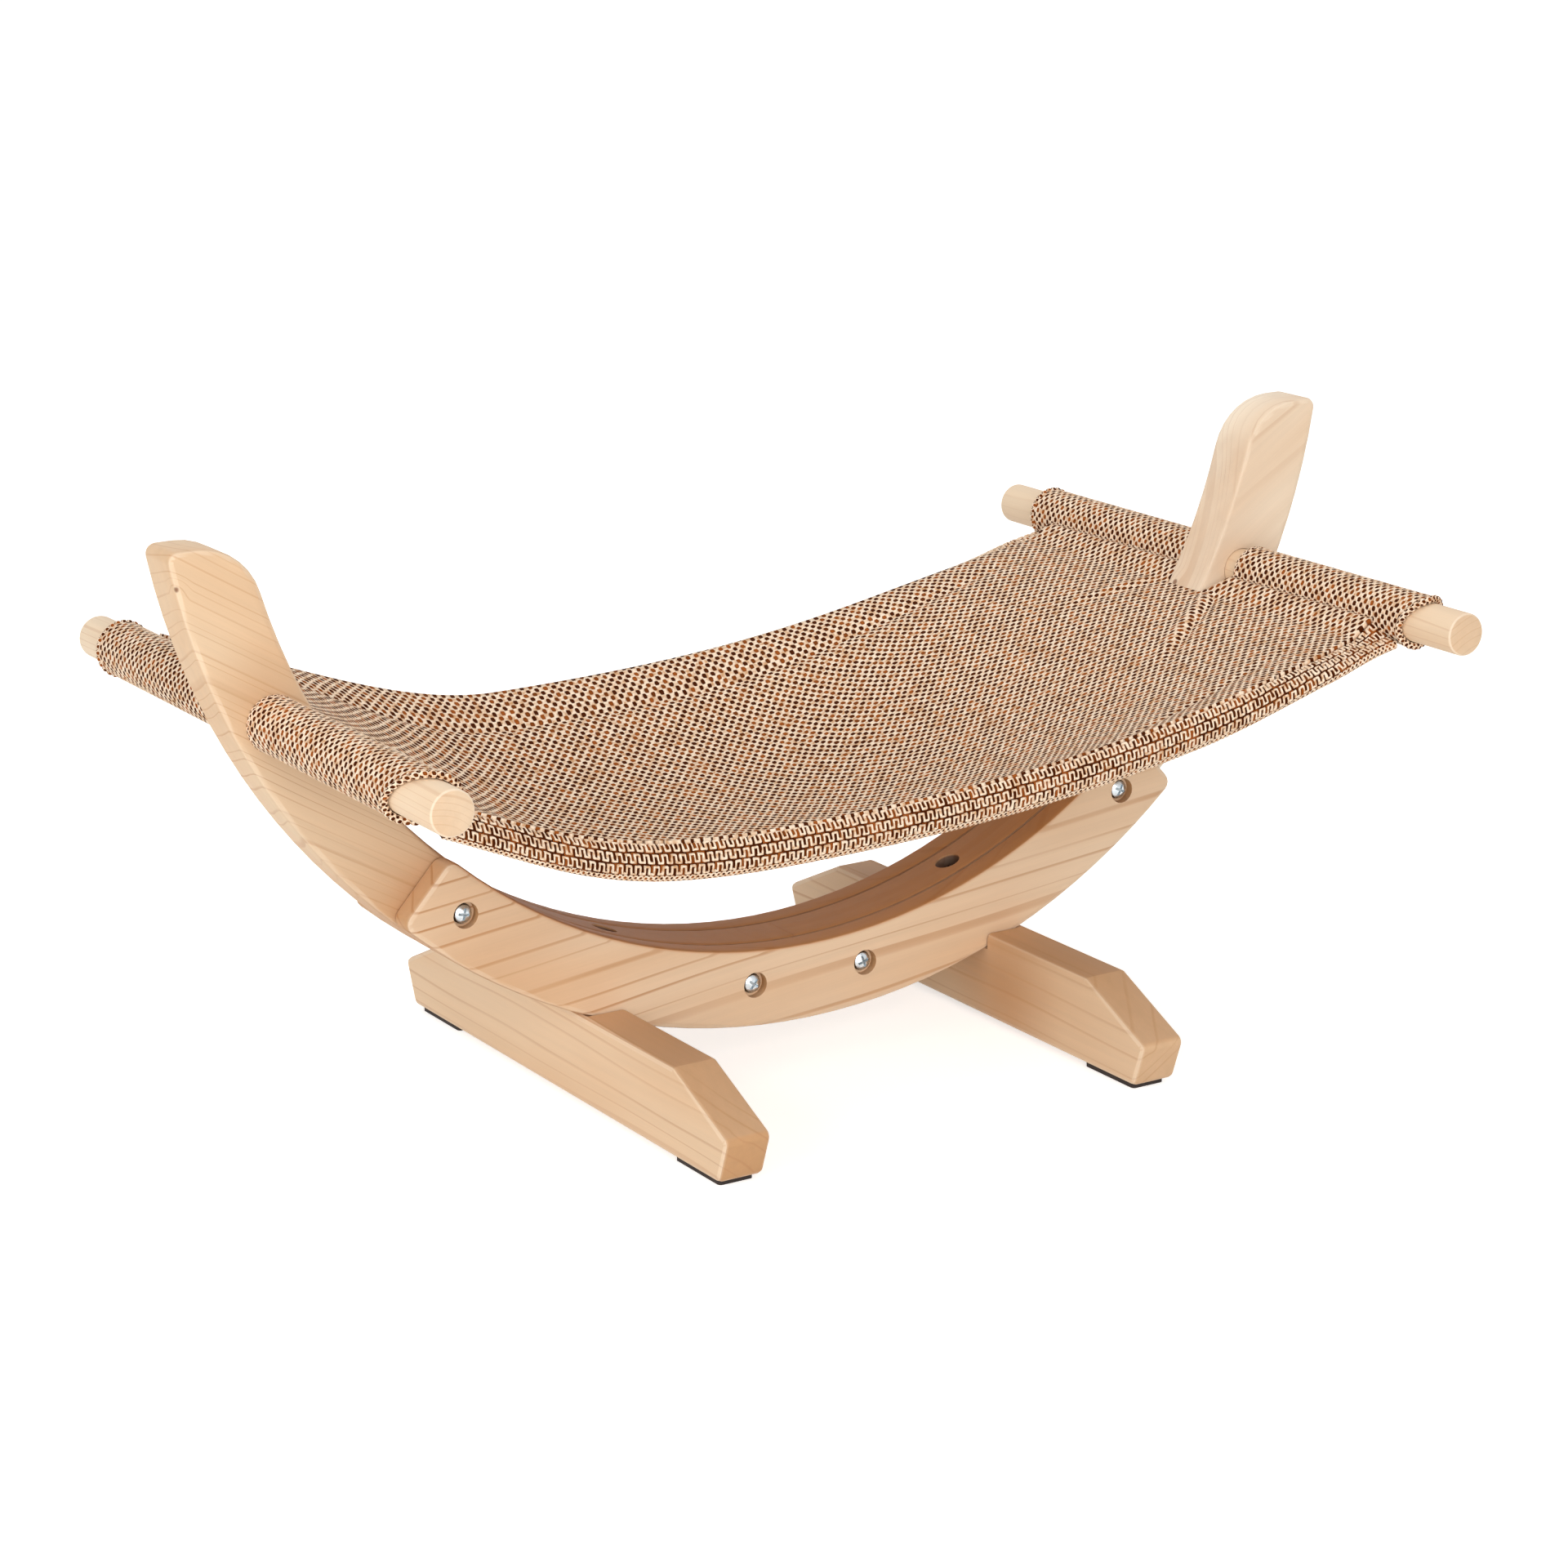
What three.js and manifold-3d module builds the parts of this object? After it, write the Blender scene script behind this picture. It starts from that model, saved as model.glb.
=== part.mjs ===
import * as THREE from 'three';
import { mergeVertices } from 'three/addons/utils/BufferGeometryUtils.js';
import Module from 'manifold-3d';

const wasm = await Module();
wasm.setup();

// All lengths are millimetres. X runs along the hammock, Y along the dowels, Z up from the floor.
// The front is the side that faces -Y.
const degree = Math.PI / 180;
const halfTurn = Math.PI;
const quarterTurn = Math.PI / 2;

// Spine: two arms end to end between two cheeks, all cut to the same ring
const ringOuter = 340;
const ringDepth = 41;
const armThickness = 29;
const armJointGap = 0.3;
const hornRise = 88.5;
const hornTipRound = 34;
const hornCornerRound = 5;
const cheekThickness = 15;
const cheekHalfAngle = 42.7 * degree;
const cheekCornerRound = 6;
const spineEdgeRound = 2.5;

// Feet: two cross beams with a saddle for the spine
const footOffset = 121.5;
const footWidth = 25;
const footHeight = 46.3;
const footHalf = 170.4;
const footSlopeLength = 51.2;
const footEndHeight = 23.1;
const footUndercut = 9;
const footCornerRound = 4;
const footEdgeRound = 2.5;
const saddleDepth = 3.8;
const saddleGap = 0.3;
const saddleSideGap = 0.9;

// Pads under the ends of the feet
const padLength = 42;
const padWidth = 19;
const padThickness = 3;
const padInset = 4.4;
const padCornerRound = 2;

// Dowels through the arms and the cloth's sleeves
const dowelRadius = 11;
const dowelLength = 400;
const dowelChamfer = 0.8;
const dowelAngle = 63.45 * degree;
const dowelHoleGap = 0.3;

// Screws with a pan head and a cross recess, and the threaded inserts that take them
const shankRadius = 3;
const headRadius = 5.25;
const headHeight = 3.9;
const headRim = 0.9;
const tipChamfer = 0.8;
const recessLength = 6.2;
const recessWidth = 1.3;
const recessDepth = 1.9;
const shankHoleGap = 0.5;
const counterboreRadius = 6.8;
const insertRadius = 4.5;
const insertGap = 0.3;
const threadGap = 0.3;

// Four cheek screws go in from the front and end in the back cheek
const cheekScrewLength = 50;
const cheekScrewAngles = [-38.2 * degree, -6 * degree, 6 * degree, 38.2 * degree];
const cheekScrewTurns = [12 * degree, 38 * degree, 71 * degree, 25 * degree];
const cheekHeadDepth = 5;
const cheekScrewInset = 2;
const cheekInsertLength = 12;

// A bolt from the concave side of each arm holds each foot
const footBoltLength = 55;
const footBoltHeadDepth = 8;
const footBoltAimShare = 0.7;
const footInsertLength = 15;
const footInsertSink = 1;
const footBoltTipRoom = 4;

// Sling: a sheet with a sleeve round each dowel, open in the middle for the arm
const clothThickness = 3;
const sleeveGap = 0.4;
const bareDowelEnd = 25;
const slingGather = 6.5;
const leftSlip = 8;
const rightSlip = 5.5;
const leftSlotWidth = 31;
const rightSlotWidth = 45;
const leftSleeveArmGap = 1;
const rightSleeveArmGap = 12.5;
const leftSleeveSlant = 28;
const rightSleeveSlant = 14;
const slotArmGap = 0.6;
const seamAngle = 35 * degree;
const seamTuck = 6;

// The lying trough hangs lowest left of the middle, and its back edge stays higher beside the left dowel
const troughX = -85;
const troughDrop = 50.2;
const troughFlatShare = 0.52;
const leftSlope = 0.41;
const rightSlope = 0.146;
const backLift = 16;
const backLiftStartShare = 0.3;

// The load presses a bowl into the sheet between its front and back crests
const bowlDepth = 52;
const bowlLeftLength = 170;
const bowlRightLength = 260;
const bowlPoints = 4;

// The doubled hems turn down along the free edges
const hemThickness = 7;
const hemDrop = 17.5;
const hemWidth = 19;
const frontPullIn = 9;
const backPullIn = 17;
const hemBulge = 4.5;
const hemRise = 34;
const hemTurnLength = 120;
const leftHemTurn = 0.75;

// Facets
const spineStep = 2.6 * degree;
const cornerStep = 24 * degree;
const saddleStep = 1.5 * degree;
const roundSteps = 2;
const dowelSides = 40;
const sleeveSides = 20;
const screwSides = 20;
const headSteps = 3;
const slingStations = 20;
const curveHalvings = 30;
const cutOverrun = 10;

// Places that follow from the sizes
const ringInner = ringOuter - ringDepth;
const ringMiddle = (ringInner + ringOuter) / 2;
const cheekScrewRing = ringMiddle - cheekScrewInset;
const spineThickness = armThickness + 2 * cheekThickness;
const footTopHalf = footHalf - footSlopeLength;
const saddleHeight = padThickness + footHeight - saddleDepth;
const ringHeight = saddleHeight + Math.sqrt(ringOuter ** 2 - footOffset ** 2);
const dowelX = ringMiddle * Math.sin(dowelAngle);
const dowelHeight = ringHeight - ringMiddle * Math.cos(dowelAngle);
const hornDrop = ringMiddle * Math.cos(dowelAngle) - hornRise;
const boltAimHeight = padThickness + footHeight * footBoltAimShare;
const footBoltAngle = Math.atan2(footOffset, ringHeight - boltAimHeight);
const slingHalfWidth = dowelLength / 2 - bareDowelEnd;
const sleeveBore = dowelRadius + sleeveGap;
const sleeveRadius = sleeveBore + clothThickness;

const wood = { color: 0xe3c6a3, roughness: 0.62, metalness: 0 };
const endGrainWood = { color: 0xd9b78c, roughness: 0.66, metalness: 0 };
const dowelWood = { color: 0xeacba6, roughness: 0.6, metalness: 0 };
const zinc = { color: 0xc9ced2, roughness: 0.3, metalness: 1 };
const brass = { color: 0xb89b5a, roughness: 0.4, metalness: 1 };
const rubber = { color: 0x2f2521, roughness: 0.85, metalness: 0 };
const cloth = { color: 0xc9a47c, roughness: 0.95, metalness: 0 };

const hammock = new THREE.Group();

function addPiece(name, geometry, look) {
  geometry.computeVertexNormals();
  const mesh = new THREE.Mesh(geometry, new THREE.MeshStandardMaterial(look));
  mesh.name = name;
  hammock.add(mesh);
  return mesh;
}

// A closed geometry as a solid that can be joined and cut
function solidOf(geometry) {
  geometry.deleteAttribute('normal');
  geometry.deleteAttribute('uv');
  const merged = mergeVertices(geometry);
  return new wasm.Manifold(new wasm.Mesh({
    numProp: 3,
    vertProperties: merged.attributes.position.array,
    triVerts: new Uint32Array(merged.index.array),
  }));
}

function geometryOf(solid) {
  const mesh = solid.getMesh();
  const geometry = new THREE.BufferGeometry();
  geometry.setAttribute('position', new THREE.Float32BufferAttribute(mesh.vertProperties, mesh.numProp));
  geometry.setIndex(new THREE.Uint32BufferAttribute(mesh.triVerts, 1));
  return geometry;
}

function cut(solid, ...tools) {
  return tools.reduce((rest, tool) => rest.subtract(tool), solid);
}

// The direction at an angle from straight down towards +X
function fromBelow(angle) {
  return new THREE.Vector2(Math.sin(angle), -Math.cos(angle));
}

// Points along an arc, both ends included
function arc(centre, radius, start, end, step) {
  const count = Math.ceil(Math.abs(end - start) / step);
  const points = [];
  for (let i = 0; i <= count; i += 1) {
    const angle = THREE.MathUtils.lerp(start, end, i / count);
    points.push(fromBelow(angle).multiplyScalar(radius).add(centre));
  }
  return points;
}

// Polygon corners replaced by arcs that touch both sides
function rounded(corners, radius) {
  const outline = [];
  corners.forEach((corner, i) => {
    const before = corners[(i + corners.length - 1) % corners.length];
    const after = corners[(i + 1) % corners.length];
    const back = before.clone().sub(corner).normalize();
    const ahead = after.clone().sub(corner).normalize();
    const half = Math.acos(back.dot(ahead)) / 2;
    const middle = back.clone().add(ahead).normalize();
    const turn = Math.sign(ahead.cross(back));
    const centre = middle.multiplyScalar(radius / Math.sin(half)).add(corner);
    const from = back.multiplyScalar(radius / Math.tan(half)).add(corner).sub(centre);
    const sweep = halfTurn - 2 * half;
    const count = Math.ceil(sweep / cornerStep);
    for (let k = 0; k <= count; k += 1) {
      const spoke = from.clone().rotateAround(new THREE.Vector2(), turn * sweep * (k / count));
      outline.push(spoke.add(centre));
    }
  });
  return outline;
}

// One half of an outline with its mirror image in the line x = 0
function mirroredOutline(half) {
  const other = half.map((point) => new THREE.Vector2(-point.x, point.y)).reverse();
  const shared = (point) => Math.abs(point.x) < Number.EPSILON;
  return [...half, ...other.filter((point) => !shared(point))];
}

// A plate with rounded edges, centred on its thickness, which runs along local Z
function plate(outline, thickness, edgeRound) {
  const geometry = new THREE.ExtrudeGeometry(new THREE.Shape(outline), {
    depth: thickness - 2 * edgeRound,
    bevelEnabled: edgeRound > 0,
    bevelThickness: edgeRound,
    bevelSize: edgeRound,
    bevelOffset: -edgeRound,
    bevelSegments: roundSteps,
  });
  geometry.translate(0, 0, edgeRound - thickness / 2);
  return geometry;
}

// A plate drawn about the ring's centre and stood up in the XZ plane
function spinePlate(outline, thickness, edgeRound, centreY) {
  const geometry = plate(outline, thickness, edgeRound);
  geometry.rotateX(quarterTurn);
  geometry.translate(0, centreY, ringHeight);
  return geometry;
}

function box(length, width, height) {
  return new THREE.BoxGeometry(length, width, height);
}

// A round bar along Y from one place to another
function barAlongY(radius, startY, endY, sides) {
  const geometry = new THREE.CylinderGeometry(radius, radius, endY - startY, sides);
  geometry.translate(0, (startY + endY) / 2, 0);
  return geometry;
}

// A hole along Y through the spine at a distance and angle from the ring's centre
function spineHole(radius, distance, angle, startY, endY, sides) {
  const place = fromBelow(angle).multiplyScalar(distance);
  return solidOf(barAlongY(radius, startY, endY, sides).translate(place.x, 0, ringHeight + place.y));
}

function screwHole(radius, angle, startY, endY) {
  return spineHole(radius, cheekScrewRing, angle, startY, endY, screwSides);
}

// A hole along the ring's radius at a foot bolt, from one distance to another
function boltHole(radius, side, start, end) {
  const geometry = barAlongY(radius, start, end, screwSides);
  geometry.rotateX(-quarterTurn);
  geometry.rotateY(-side * footBoltAngle);
  geometry.translate(0, 0, ringHeight);
  return solidOf(geometry);
}

function ringSector(inner, outer, start, end, step) {
  const origin = new THREE.Vector2();
  return [...arc(origin, outer, start, end, step), ...arc(origin, inner, end, start, step)];
}

// The right arm's outline: a ring sector whose top is level and swept round to the concave edge
function armOutline() {
  const origin = new THREE.Vector2();
  const seamOverrun = -Math.asin(cutOverrun / ringInner);
  const cornerHeight = hornDrop + hornCornerRound;
  const cornerX = Math.sqrt((ringOuter - hornCornerRound) ** 2 - cornerHeight ** 2);
  const corner = new THREE.Vector2(cornerX, -cornerHeight);
  const cornerAngle = Math.atan2(cornerX, cornerHeight);
  const tipHeight = hornDrop + hornTipRound;
  const tipX = Math.sqrt((ringInner + hornTipRound) ** 2 - tipHeight ** 2);
  const tip = new THREE.Vector2(tipX, -tipHeight);
  const tipAngle = Math.atan2(tipX, tipHeight);
  return [
    ...arc(origin, ringOuter, seamOverrun, cornerAngle, spineStep),
    ...arc(corner, hornCornerRound, cornerAngle, halfTurn, cornerStep).slice(1),
    ...arc(tip, hornTipRound, halfTurn, halfTurn + tipAngle, cornerStep / 2).slice(0, -1),
    ...arc(origin, ringInner, tipAngle, seamOverrun, spineStep),
  ];
}

function armGeometry(side) {
  const outline = armOutline().map((point) => new THREE.Vector2(side * point.x, point.y));
  const arm = solidOf(spinePlate(outline, armThickness, spineEdgeRound, 0));
  const seamCut = box(2 * ringInner, 2 * armThickness, 2 * ringOuter);
  seamCut.translate(side * (armJointGap / 2 - ringInner), 0, ringHeight);
  const reach = armThickness / 2 + cutOverrun;
  const screwHoles = cheekScrewAngles.filter((angle) => angle * side > 0).map((angle) => (
    screwHole(shankRadius + shankHoleGap, angle, -reach, reach)));
  return geometryOf(cut(
    arm,
    solidOf(seamCut),
    spineHole(dowelRadius + dowelHoleGap, ringMiddle, side * dowelAngle, -reach, reach, dowelSides),
    boltHole(shankRadius + shankHoleGap, side, ringInner - cutOverrun, ringOuter + cutOverrun),
    boltHole(counterboreRadius, side, ringInner - cutOverrun, ringInner + footBoltHeadDepth),
    ...screwHoles,
  ));
}

// A cheek's outline: a ring sector with rounded corners
function cheekOutline() {
  const origin = new THREE.Vector2();
  const outerRadius = ringOuter - cheekCornerRound;
  const outerAngle = cheekHalfAngle - Math.asin(cheekCornerRound / outerRadius);
  const innerRadius = ringInner + cheekCornerRound;
  const innerAngle = cheekHalfAngle - Math.asin(cheekCornerRound / innerRadius);
  const outerCorner = fromBelow(outerAngle).multiplyScalar(outerRadius);
  const innerCorner = fromBelow(innerAngle).multiplyScalar(innerRadius);
  const endFacing = cheekHalfAngle + quarterTurn;
  return mirroredOutline([
    ...arc(origin, ringOuter, 0, outerAngle, spineStep),
    ...arc(outerCorner, cheekCornerRound, outerAngle, endFacing, cornerStep).slice(1),
    ...arc(innerCorner, cheekCornerRound, endFacing, innerAngle + halfTurn, cornerStep),
    ...arc(origin, ringInner, innerAngle, 0, spineStep).slice(1),
  ]);
}

function cheekBlank(side) {
  const centreY = side * (armThickness + cheekThickness) / 2;
  return solidOf(spinePlate(cheekOutline(), cheekThickness, spineEdgeRound, centreY));
}

const cheekHeadSeat = -spineThickness / 2 + cheekHeadDepth;
const cheekInsertStart = armThickness / 2;

function frontCheekGeometry() {
  const outside = -spineThickness / 2 - cutOverrun;
  const holes = cheekScrewAngles.flatMap((angle) => [
    screwHole(counterboreRadius, angle, outside, cheekHeadSeat),
    screwHole(shankRadius + shankHoleGap, angle, outside, 0),
  ]);
  return geometryOf(cut(cheekBlank(-1), ...holes));
}

function backCheekGeometry() {
  const holeEnd = cheekInsertStart + cheekInsertLength + insertGap;
  const holes = cheekScrewAngles.map((angle) => screwHole(insertRadius + insertGap, angle, 0, holeEnd));
  return geometryOf(cut(cheekBlank(1), ...holes));
}

// A foot: a beam along Y with sloping ends and a saddle cut to the spine's ring
function footGeometry(side) {
  const corners = [
    new THREE.Vector2(footTopHalf, footHeight),
    new THREE.Vector2(footHalf, footEndHeight),
    new THREE.Vector2(footHalf - footUndercut, 0),
  ];
  const mirrored = corners.map((corner) => new THREE.Vector2(-corner.x, corner.y)).reverse();
  const geometry = plate(rounded([...corners, ...mirrored], footCornerRound), footWidth, footEdgeRound);
  const alongY = new THREE.Vector3(0, 1, 0);
  const up = new THREE.Vector3(0, 0, 1);
  const alongX = new THREE.Vector3(1, 0, 0);
  geometry.applyMatrix4(new THREE.Matrix4().makeBasis(alongY, up, alongX));
  geometry.translate(side * footOffset, 0, padThickness);

  const reach = Math.asin((footOffset + footWidth) / ringOuter);
  const nearest = Math.asin((footOffset - footWidth) / ringOuter);
  const seat = ringSector(ringInner, ringOuter + saddleGap, side * nearest, side * reach, saddleStep);
  const saddle = solidOf(spinePlate(seat, spineThickness + 2 * saddleSideGap, 0, 0));
  const insertStart = ringOuter + saddleGap;
  const insertEnd = insertStart + footInsertSink + footInsertLength + insertGap;
  const tipEnd = ringInner + footBoltHeadDepth + footBoltLength + footBoltTipRoom;
  return geometryOf(cut(
    solidOf(geometry),
    saddle,
    boltHole(insertRadius + insertGap, side, ringInner, insertEnd),
    boltHole(shankRadius + shankHoleGap, side, ringInner, tipEnd),
  ));
}

function padGeometry() {
  const x = padWidth / 2;
  const y = padLength / 2;
  const corners = [[x, -y], [x, y], [-x, y], [-x, -y]].map(([a, b]) => new THREE.Vector2(a, b));
  return plate(rounded(corners, padCornerRound), padThickness, 0);
}

function dowelGeometry() {
  const end = dowelLength / 2;
  const profile = [
    [0, -end],
    [dowelRadius - dowelChamfer, -end],
    [dowelRadius, dowelChamfer - end],
    [dowelRadius, end - dowelChamfer],
    [dowelRadius - dowelChamfer, end],
    [0, end],
  ];
  return new THREE.LatheGeometry(profile.map(([r, y]) => new THREE.Vector2(r, y)), dowelSides);
}

// A screw along Y with the underside of its head at the origin and the head towards -Y
function screwGeometry(length) {
  const dome = headHeight - headRim;
  const head = [];
  for (let i = 0; i <= headSteps; i += 1) {
    const angle = quarterTurn * (i / headSteps);
    head.push(new THREE.Vector2(headRadius * Math.sin(angle), -headRim - dome * Math.cos(angle)));
  }
  const shank = [
    [headRadius, 0],
    [shankRadius, 0],
    [shankRadius, length - tipChamfer],
    [shankRadius - tipChamfer, length],
    [0, length],
  ].map(([r, y]) => new THREE.Vector2(r, y));
  const blank = solidOf(new THREE.LatheGeometry([...head, ...shank], screwSides));
  const slots = [0, quarterTurn].map((turn) => {
    const slot = box(recessLength, 2 * recessDepth, recessWidth);
    slot.rotateY(turn);
    slot.translate(0, -headHeight, 0);
    return solidOf(slot);
  });
  return geometryOf(cut(blank, ...slots));
}

// A threaded insert along Y, from the origin
function insertGeometry(length) {
  const bore = shankRadius + threadGap;
  const profile = [[bore, 0], [insertRadius, 0], [insertRadius, length], [bore, length], [bore, 0]];
  return new THREE.LatheGeometry(profile.map(([r, y]) => new THREE.Vector2(r, y)), screwSides);
}

// Sleeve ends at one dowel, front first, as places along Y
function sleevePlaces(side) {
  const slip = side < 0 ? leftSlip : rightSlip;
  const halfWidth = side < 0 ? slingHalfWidth : slingHalfWidth - slingGather;
  const frontGap = side < 0 ? leftSleeveArmGap : rightSleeveArmGap;
  const slotFront = -armThickness / 2 - frontGap;
  return {
    front: -halfWidth - slip,
    frontSlant: side < 0 ? leftSleeveSlant : rightSleeveSlant,
    slotFront,
    slotBack: slotFront + (side < 0 ? leftSlotWidth : rightSlotWidth),
    back: halfWidth - slip,
  };
}

// The line where the sheet meets a sleeve, low on the inner side of the dowel
function seamPoint(side) {
  const x = side * (dowelX - sleeveRadius * Math.cos(seamAngle));
  return new THREE.Vector2(x, dowelHeight - sleeveRadius * Math.sin(seamAngle));
}

// The crest of the sheet along X, as two curves that meet level at the bottom of the trough
function crestCurves() {
  const bottom = new THREE.Vector2(troughX, dowelHeight - troughDrop);
  return [[-1, -leftSlope], [1, rightSlope]].map(([side, slope]) => {
    const end = seamPoint(side);
    const level = (end.x - bottom.x) * troughFlatShare;
    const third = (end.x - bottom.x) / 3;
    return new THREE.CubicBezierCurve(
      bottom,
      new THREE.Vector2(bottom.x + level, bottom.y),
      new THREE.Vector2(end.x - third, end.y - slope * third),
      end,
    );
  });
}

const [leftCrest, rightCrest] = crestCurves();

// The crest's height at a place along X, found by halving the curve's parameter range
function crestHeight(x) {
  const curve = x < troughX ? leftCrest : rightCrest;
  let low = 0;
  let high = 1;
  for (let i = 0; i < curveHalvings; i += 1) {
    const middle = (low + high) / 2;
    if (Math.abs(curve.getPoint(middle).x - troughX) < Math.abs(x - troughX)) {
      low = middle;
    } else {
      high = middle;
    }
  }
  return curve.getPoint(low).y;
}

// How far the back edge is above the front edge, which fades from the left dowel to the trough
function backRise(x) {
  const start = seamPoint(-1).x;
  const share = (x - start) / (troughX - start);
  return backLift * (1 - THREE.MathUtils.smoothstep(share, backLiftStartShare, 1));
}

// How far the bowl hangs below the crests, at a share of the way across
function bowlDip(x, share) {
  const fromLeft = THREE.MathUtils.smoothstep(x - seamPoint(-1).x, 0, bowlLeftLength);
  const fromRight = THREE.MathUtils.smoothstep(seamPoint(1).x - x, 0, bowlRightLength);
  return bowlDepth * fromLeft * fromRight * 4 * share * (1 - share);
}

// One edge of the sheet's section, from the middle out and back underneath.
// Each point is a distance outwards from the crest and a height above it.
function edgeSection(turned, dipAt) {
  const halfHem = hemThickness / 2;
  const dip = dipAt(hemRise);
  const nearDip = dipAt(hemRise / 2);
  const flat = [
    [-hemRise, -dip],
    [-hemRise / 2, -nearDip],
    [-halfHem, 0],
    [0, 0],
    [hemWidth / 2, 0],
    [hemWidth, -clothThickness],
    [hemWidth / 2, -2 * clothThickness],
    [0, -2 * clothThickness],
    [-halfHem, -2 * clothThickness],
    [-hemRise / 2, -nearDip - clothThickness],
    [-hemRise, -dip - clothThickness],
  ];
  const down = [
    [-hemRise, -dip],
    [-hemRise / 2, -nearDip],
    [-halfHem, 0],
    [halfHem / 2, -halfHem / 4],
    [hemBulge, -hemDrop / 2],
    [halfHem, halfHem - hemDrop],
    [0, -hemDrop],
    [-halfHem, halfHem - hemDrop],
    [hemBulge - hemThickness, -hemDrop / 2],
    [-hemRise / 2, -nearDip - clothThickness],
    [-hemRise, -dip - clothThickness],
  ];
  return flat.map((point, i) => [0, 1].map((k) => THREE.MathUtils.lerp(point[k], down[i][k], turned)));
}

// The sheet's closed section across Y at a station along X
function sheetSection(x, z, turned) {
  const left = sleevePlaces(-1);
  const right = sleevePlaces(1);
  const share = THREE.MathUtils.smoothstep(x, -dowelX, dowelX);
  const frontSeams = [left, right].map((places) => places.front + places.frontSlant / 2);
  const frontEdge = THREE.MathUtils.lerp(...frontSeams, share);
  const front = frontEdge + THREE.MathUtils.lerp(hemWidth, frontPullIn, turned);
  const backEdge = THREE.MathUtils.lerp(left.back, right.back, share);
  const back = backEdge - THREE.MathUtils.lerp(hemWidth, backPullIn, turned);
  const rise = backRise(x);
  const dipAt = (inward) => bowlDip(x, inward / (back - front));
  const edge = edgeSection(turned, dipAt);
  const frontPoints = edge.map(([out, up]) => new THREE.Vector3(x, front - out, z + up));
  const backPoints = edge.map(([out, up]) => new THREE.Vector3(x, back + out, z + rise + up)).reverse();
  const inside = [];
  for (let k = 1; k <= bowlPoints; k += 1) {
    const across = k / (bowlPoints + 1);
    const y = THREE.MathUtils.lerp(front + hemRise, back - hemRise, across);
    inside.push(new THREE.Vector3(x, y, z + rise * across - dipAt(y - front)));
  }
  const underside = inside.map((point) => point.clone().setZ(point.z - clothThickness));
  return [...frontPoints, ...underside, ...backPoints, ...inside.reverse()];
}

// A closed body through sections that have equally many points
function loft(sections) {
  const size = sections[0].length;
  const points = sections.flat();
  const index = [];
  for (let s = 0; s + 1 < sections.length; s += 1) {
    for (let i = 0; i < size; i += 1) {
      const here = s * size;
      const next = (i + 1) % size;
      index.push(here + i, here + next, here + size + i);
      index.push(here + next, here + size + next, here + size + i);
    }
  }
  const cap = (section, base, flip) => {
    const flat = section.map((point) => new THREE.Vector2(point.y, point.z));
    THREE.ShapeUtils.triangulateShape(flat, []).forEach(([a, b, c]) => {
      index.push(base + a, base + (flip ? c : b), base + (flip ? b : c));
    });
  };
  cap(sections[0], 0, true);
  cap(sections[sections.length - 1], points.length - size, false);
  const geometry = new THREE.BufferGeometry().setFromPoints(points);
  geometry.setIndex(index);
  return geometry;
}

function sheetSolid() {
  const left = seamPoint(-1);
  const right = seamPoint(1);
  const tuck = (seam, side) => {
    const axis = new THREE.Vector2(side * dowelX, dowelHeight);
    return seam.clone().lerp(axis, seamTuck / sleeveRadius);
  };
  const leftTuck = tuck(left, -1);
  const rightTuck = tuck(right, 1);
  // The hems hang partly turned at the left sleeve and lie flat at the right one
  const turnedAt = (x) => {
    const fromLeft = THREE.MathUtils.smoothstep(x - left.x, 0, hemTurnLength);
    const fromRight = THREE.MathUtils.smoothstep(right.x - x, 0, hemTurnLength);
    return Math.min(THREE.MathUtils.lerp(leftHemTurn, 1, fromLeft), fromRight);
  };
  const sections = [sheetSection(leftTuck.x, leftTuck.y, leftHemTurn)];
  for (let i = 0; i <= slingStations; i += 1) {
    const x = THREE.MathUtils.lerp(left.x, right.x, i / slingStations);
    sections.push(sheetSection(x, crestHeight(x), turnedAt(x)));
  }
  sections.push(sheetSection(rightTuck.x, rightTuck.y, 0));
  return solidOf(loft(sections));
}

// A sleeve round a dowel, whose front end slants back towards its low outer side
function sleeveSolid(side, startY, endY, frontSlant) {
  const core = sleeveRadius - clothThickness - sleeveGap;
  const section = [[core, startY], [sleeveRadius, startY], [sleeveRadius, endY], [core, endY]];
  const profile = [...section, section[0]].map(([r, y]) => new THREE.Vector2(r, y));
  const geometry = new THREE.LatheGeometry(profile, sleeveSides);
  const place = geometry.attributes.position;
  for (let i = 0; i < place.count; i += 1) {
    const lowOuter = (side * place.getX(i) - place.getZ(i)) / (2 * sleeveRadius * Math.SQRT1_2);
    const shift = place.getY(i) > startY ? 0 : frontSlant * (1 + lowOuter) / 2;
    place.setY(i, place.getY(i) + shift);
  }
  return solidOf(geometry.translate(side * dowelX, 0, dowelHeight));
}

// The room that the arm and the open part of the sleeves take out of the sheet
function slotSolids(side) {
  const places = sleevePlaces(side);
  const armWidth = armThickness + 2 * slotArmGap;
  const start = side * cheekHalfAngle;
  const armRoom = ringSector(ringInner - slotArmGap, ringOuter, start, side * quarterTurn, spineStep);
  const seam = Math.abs(seamPoint(side).x);
  const mouth = Math.sqrt(ringInner ** 2 - (ringHeight - crestHeight(side * seam)) ** 2);
  const outer = dowelX + sleeveRadius + cutOverrun;
  const corners = [
    [mouth, -armWidth / 2],
    [seam, places.slotFront],
    [outer, places.slotFront],
    [outer, places.slotBack],
    [seam, places.slotBack],
    [mouth, armWidth / 2],
  ].map(([x, y]) => new THREE.Vector2(side * x, y));
  const opening = plate(corners, 2 * (sleeveRadius + cutOverrun), 0).translate(0, 0, dowelHeight);
  return [solidOf(spinePlate(armRoom, armWidth, 0, 0)), solidOf(opening)];
}

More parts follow.
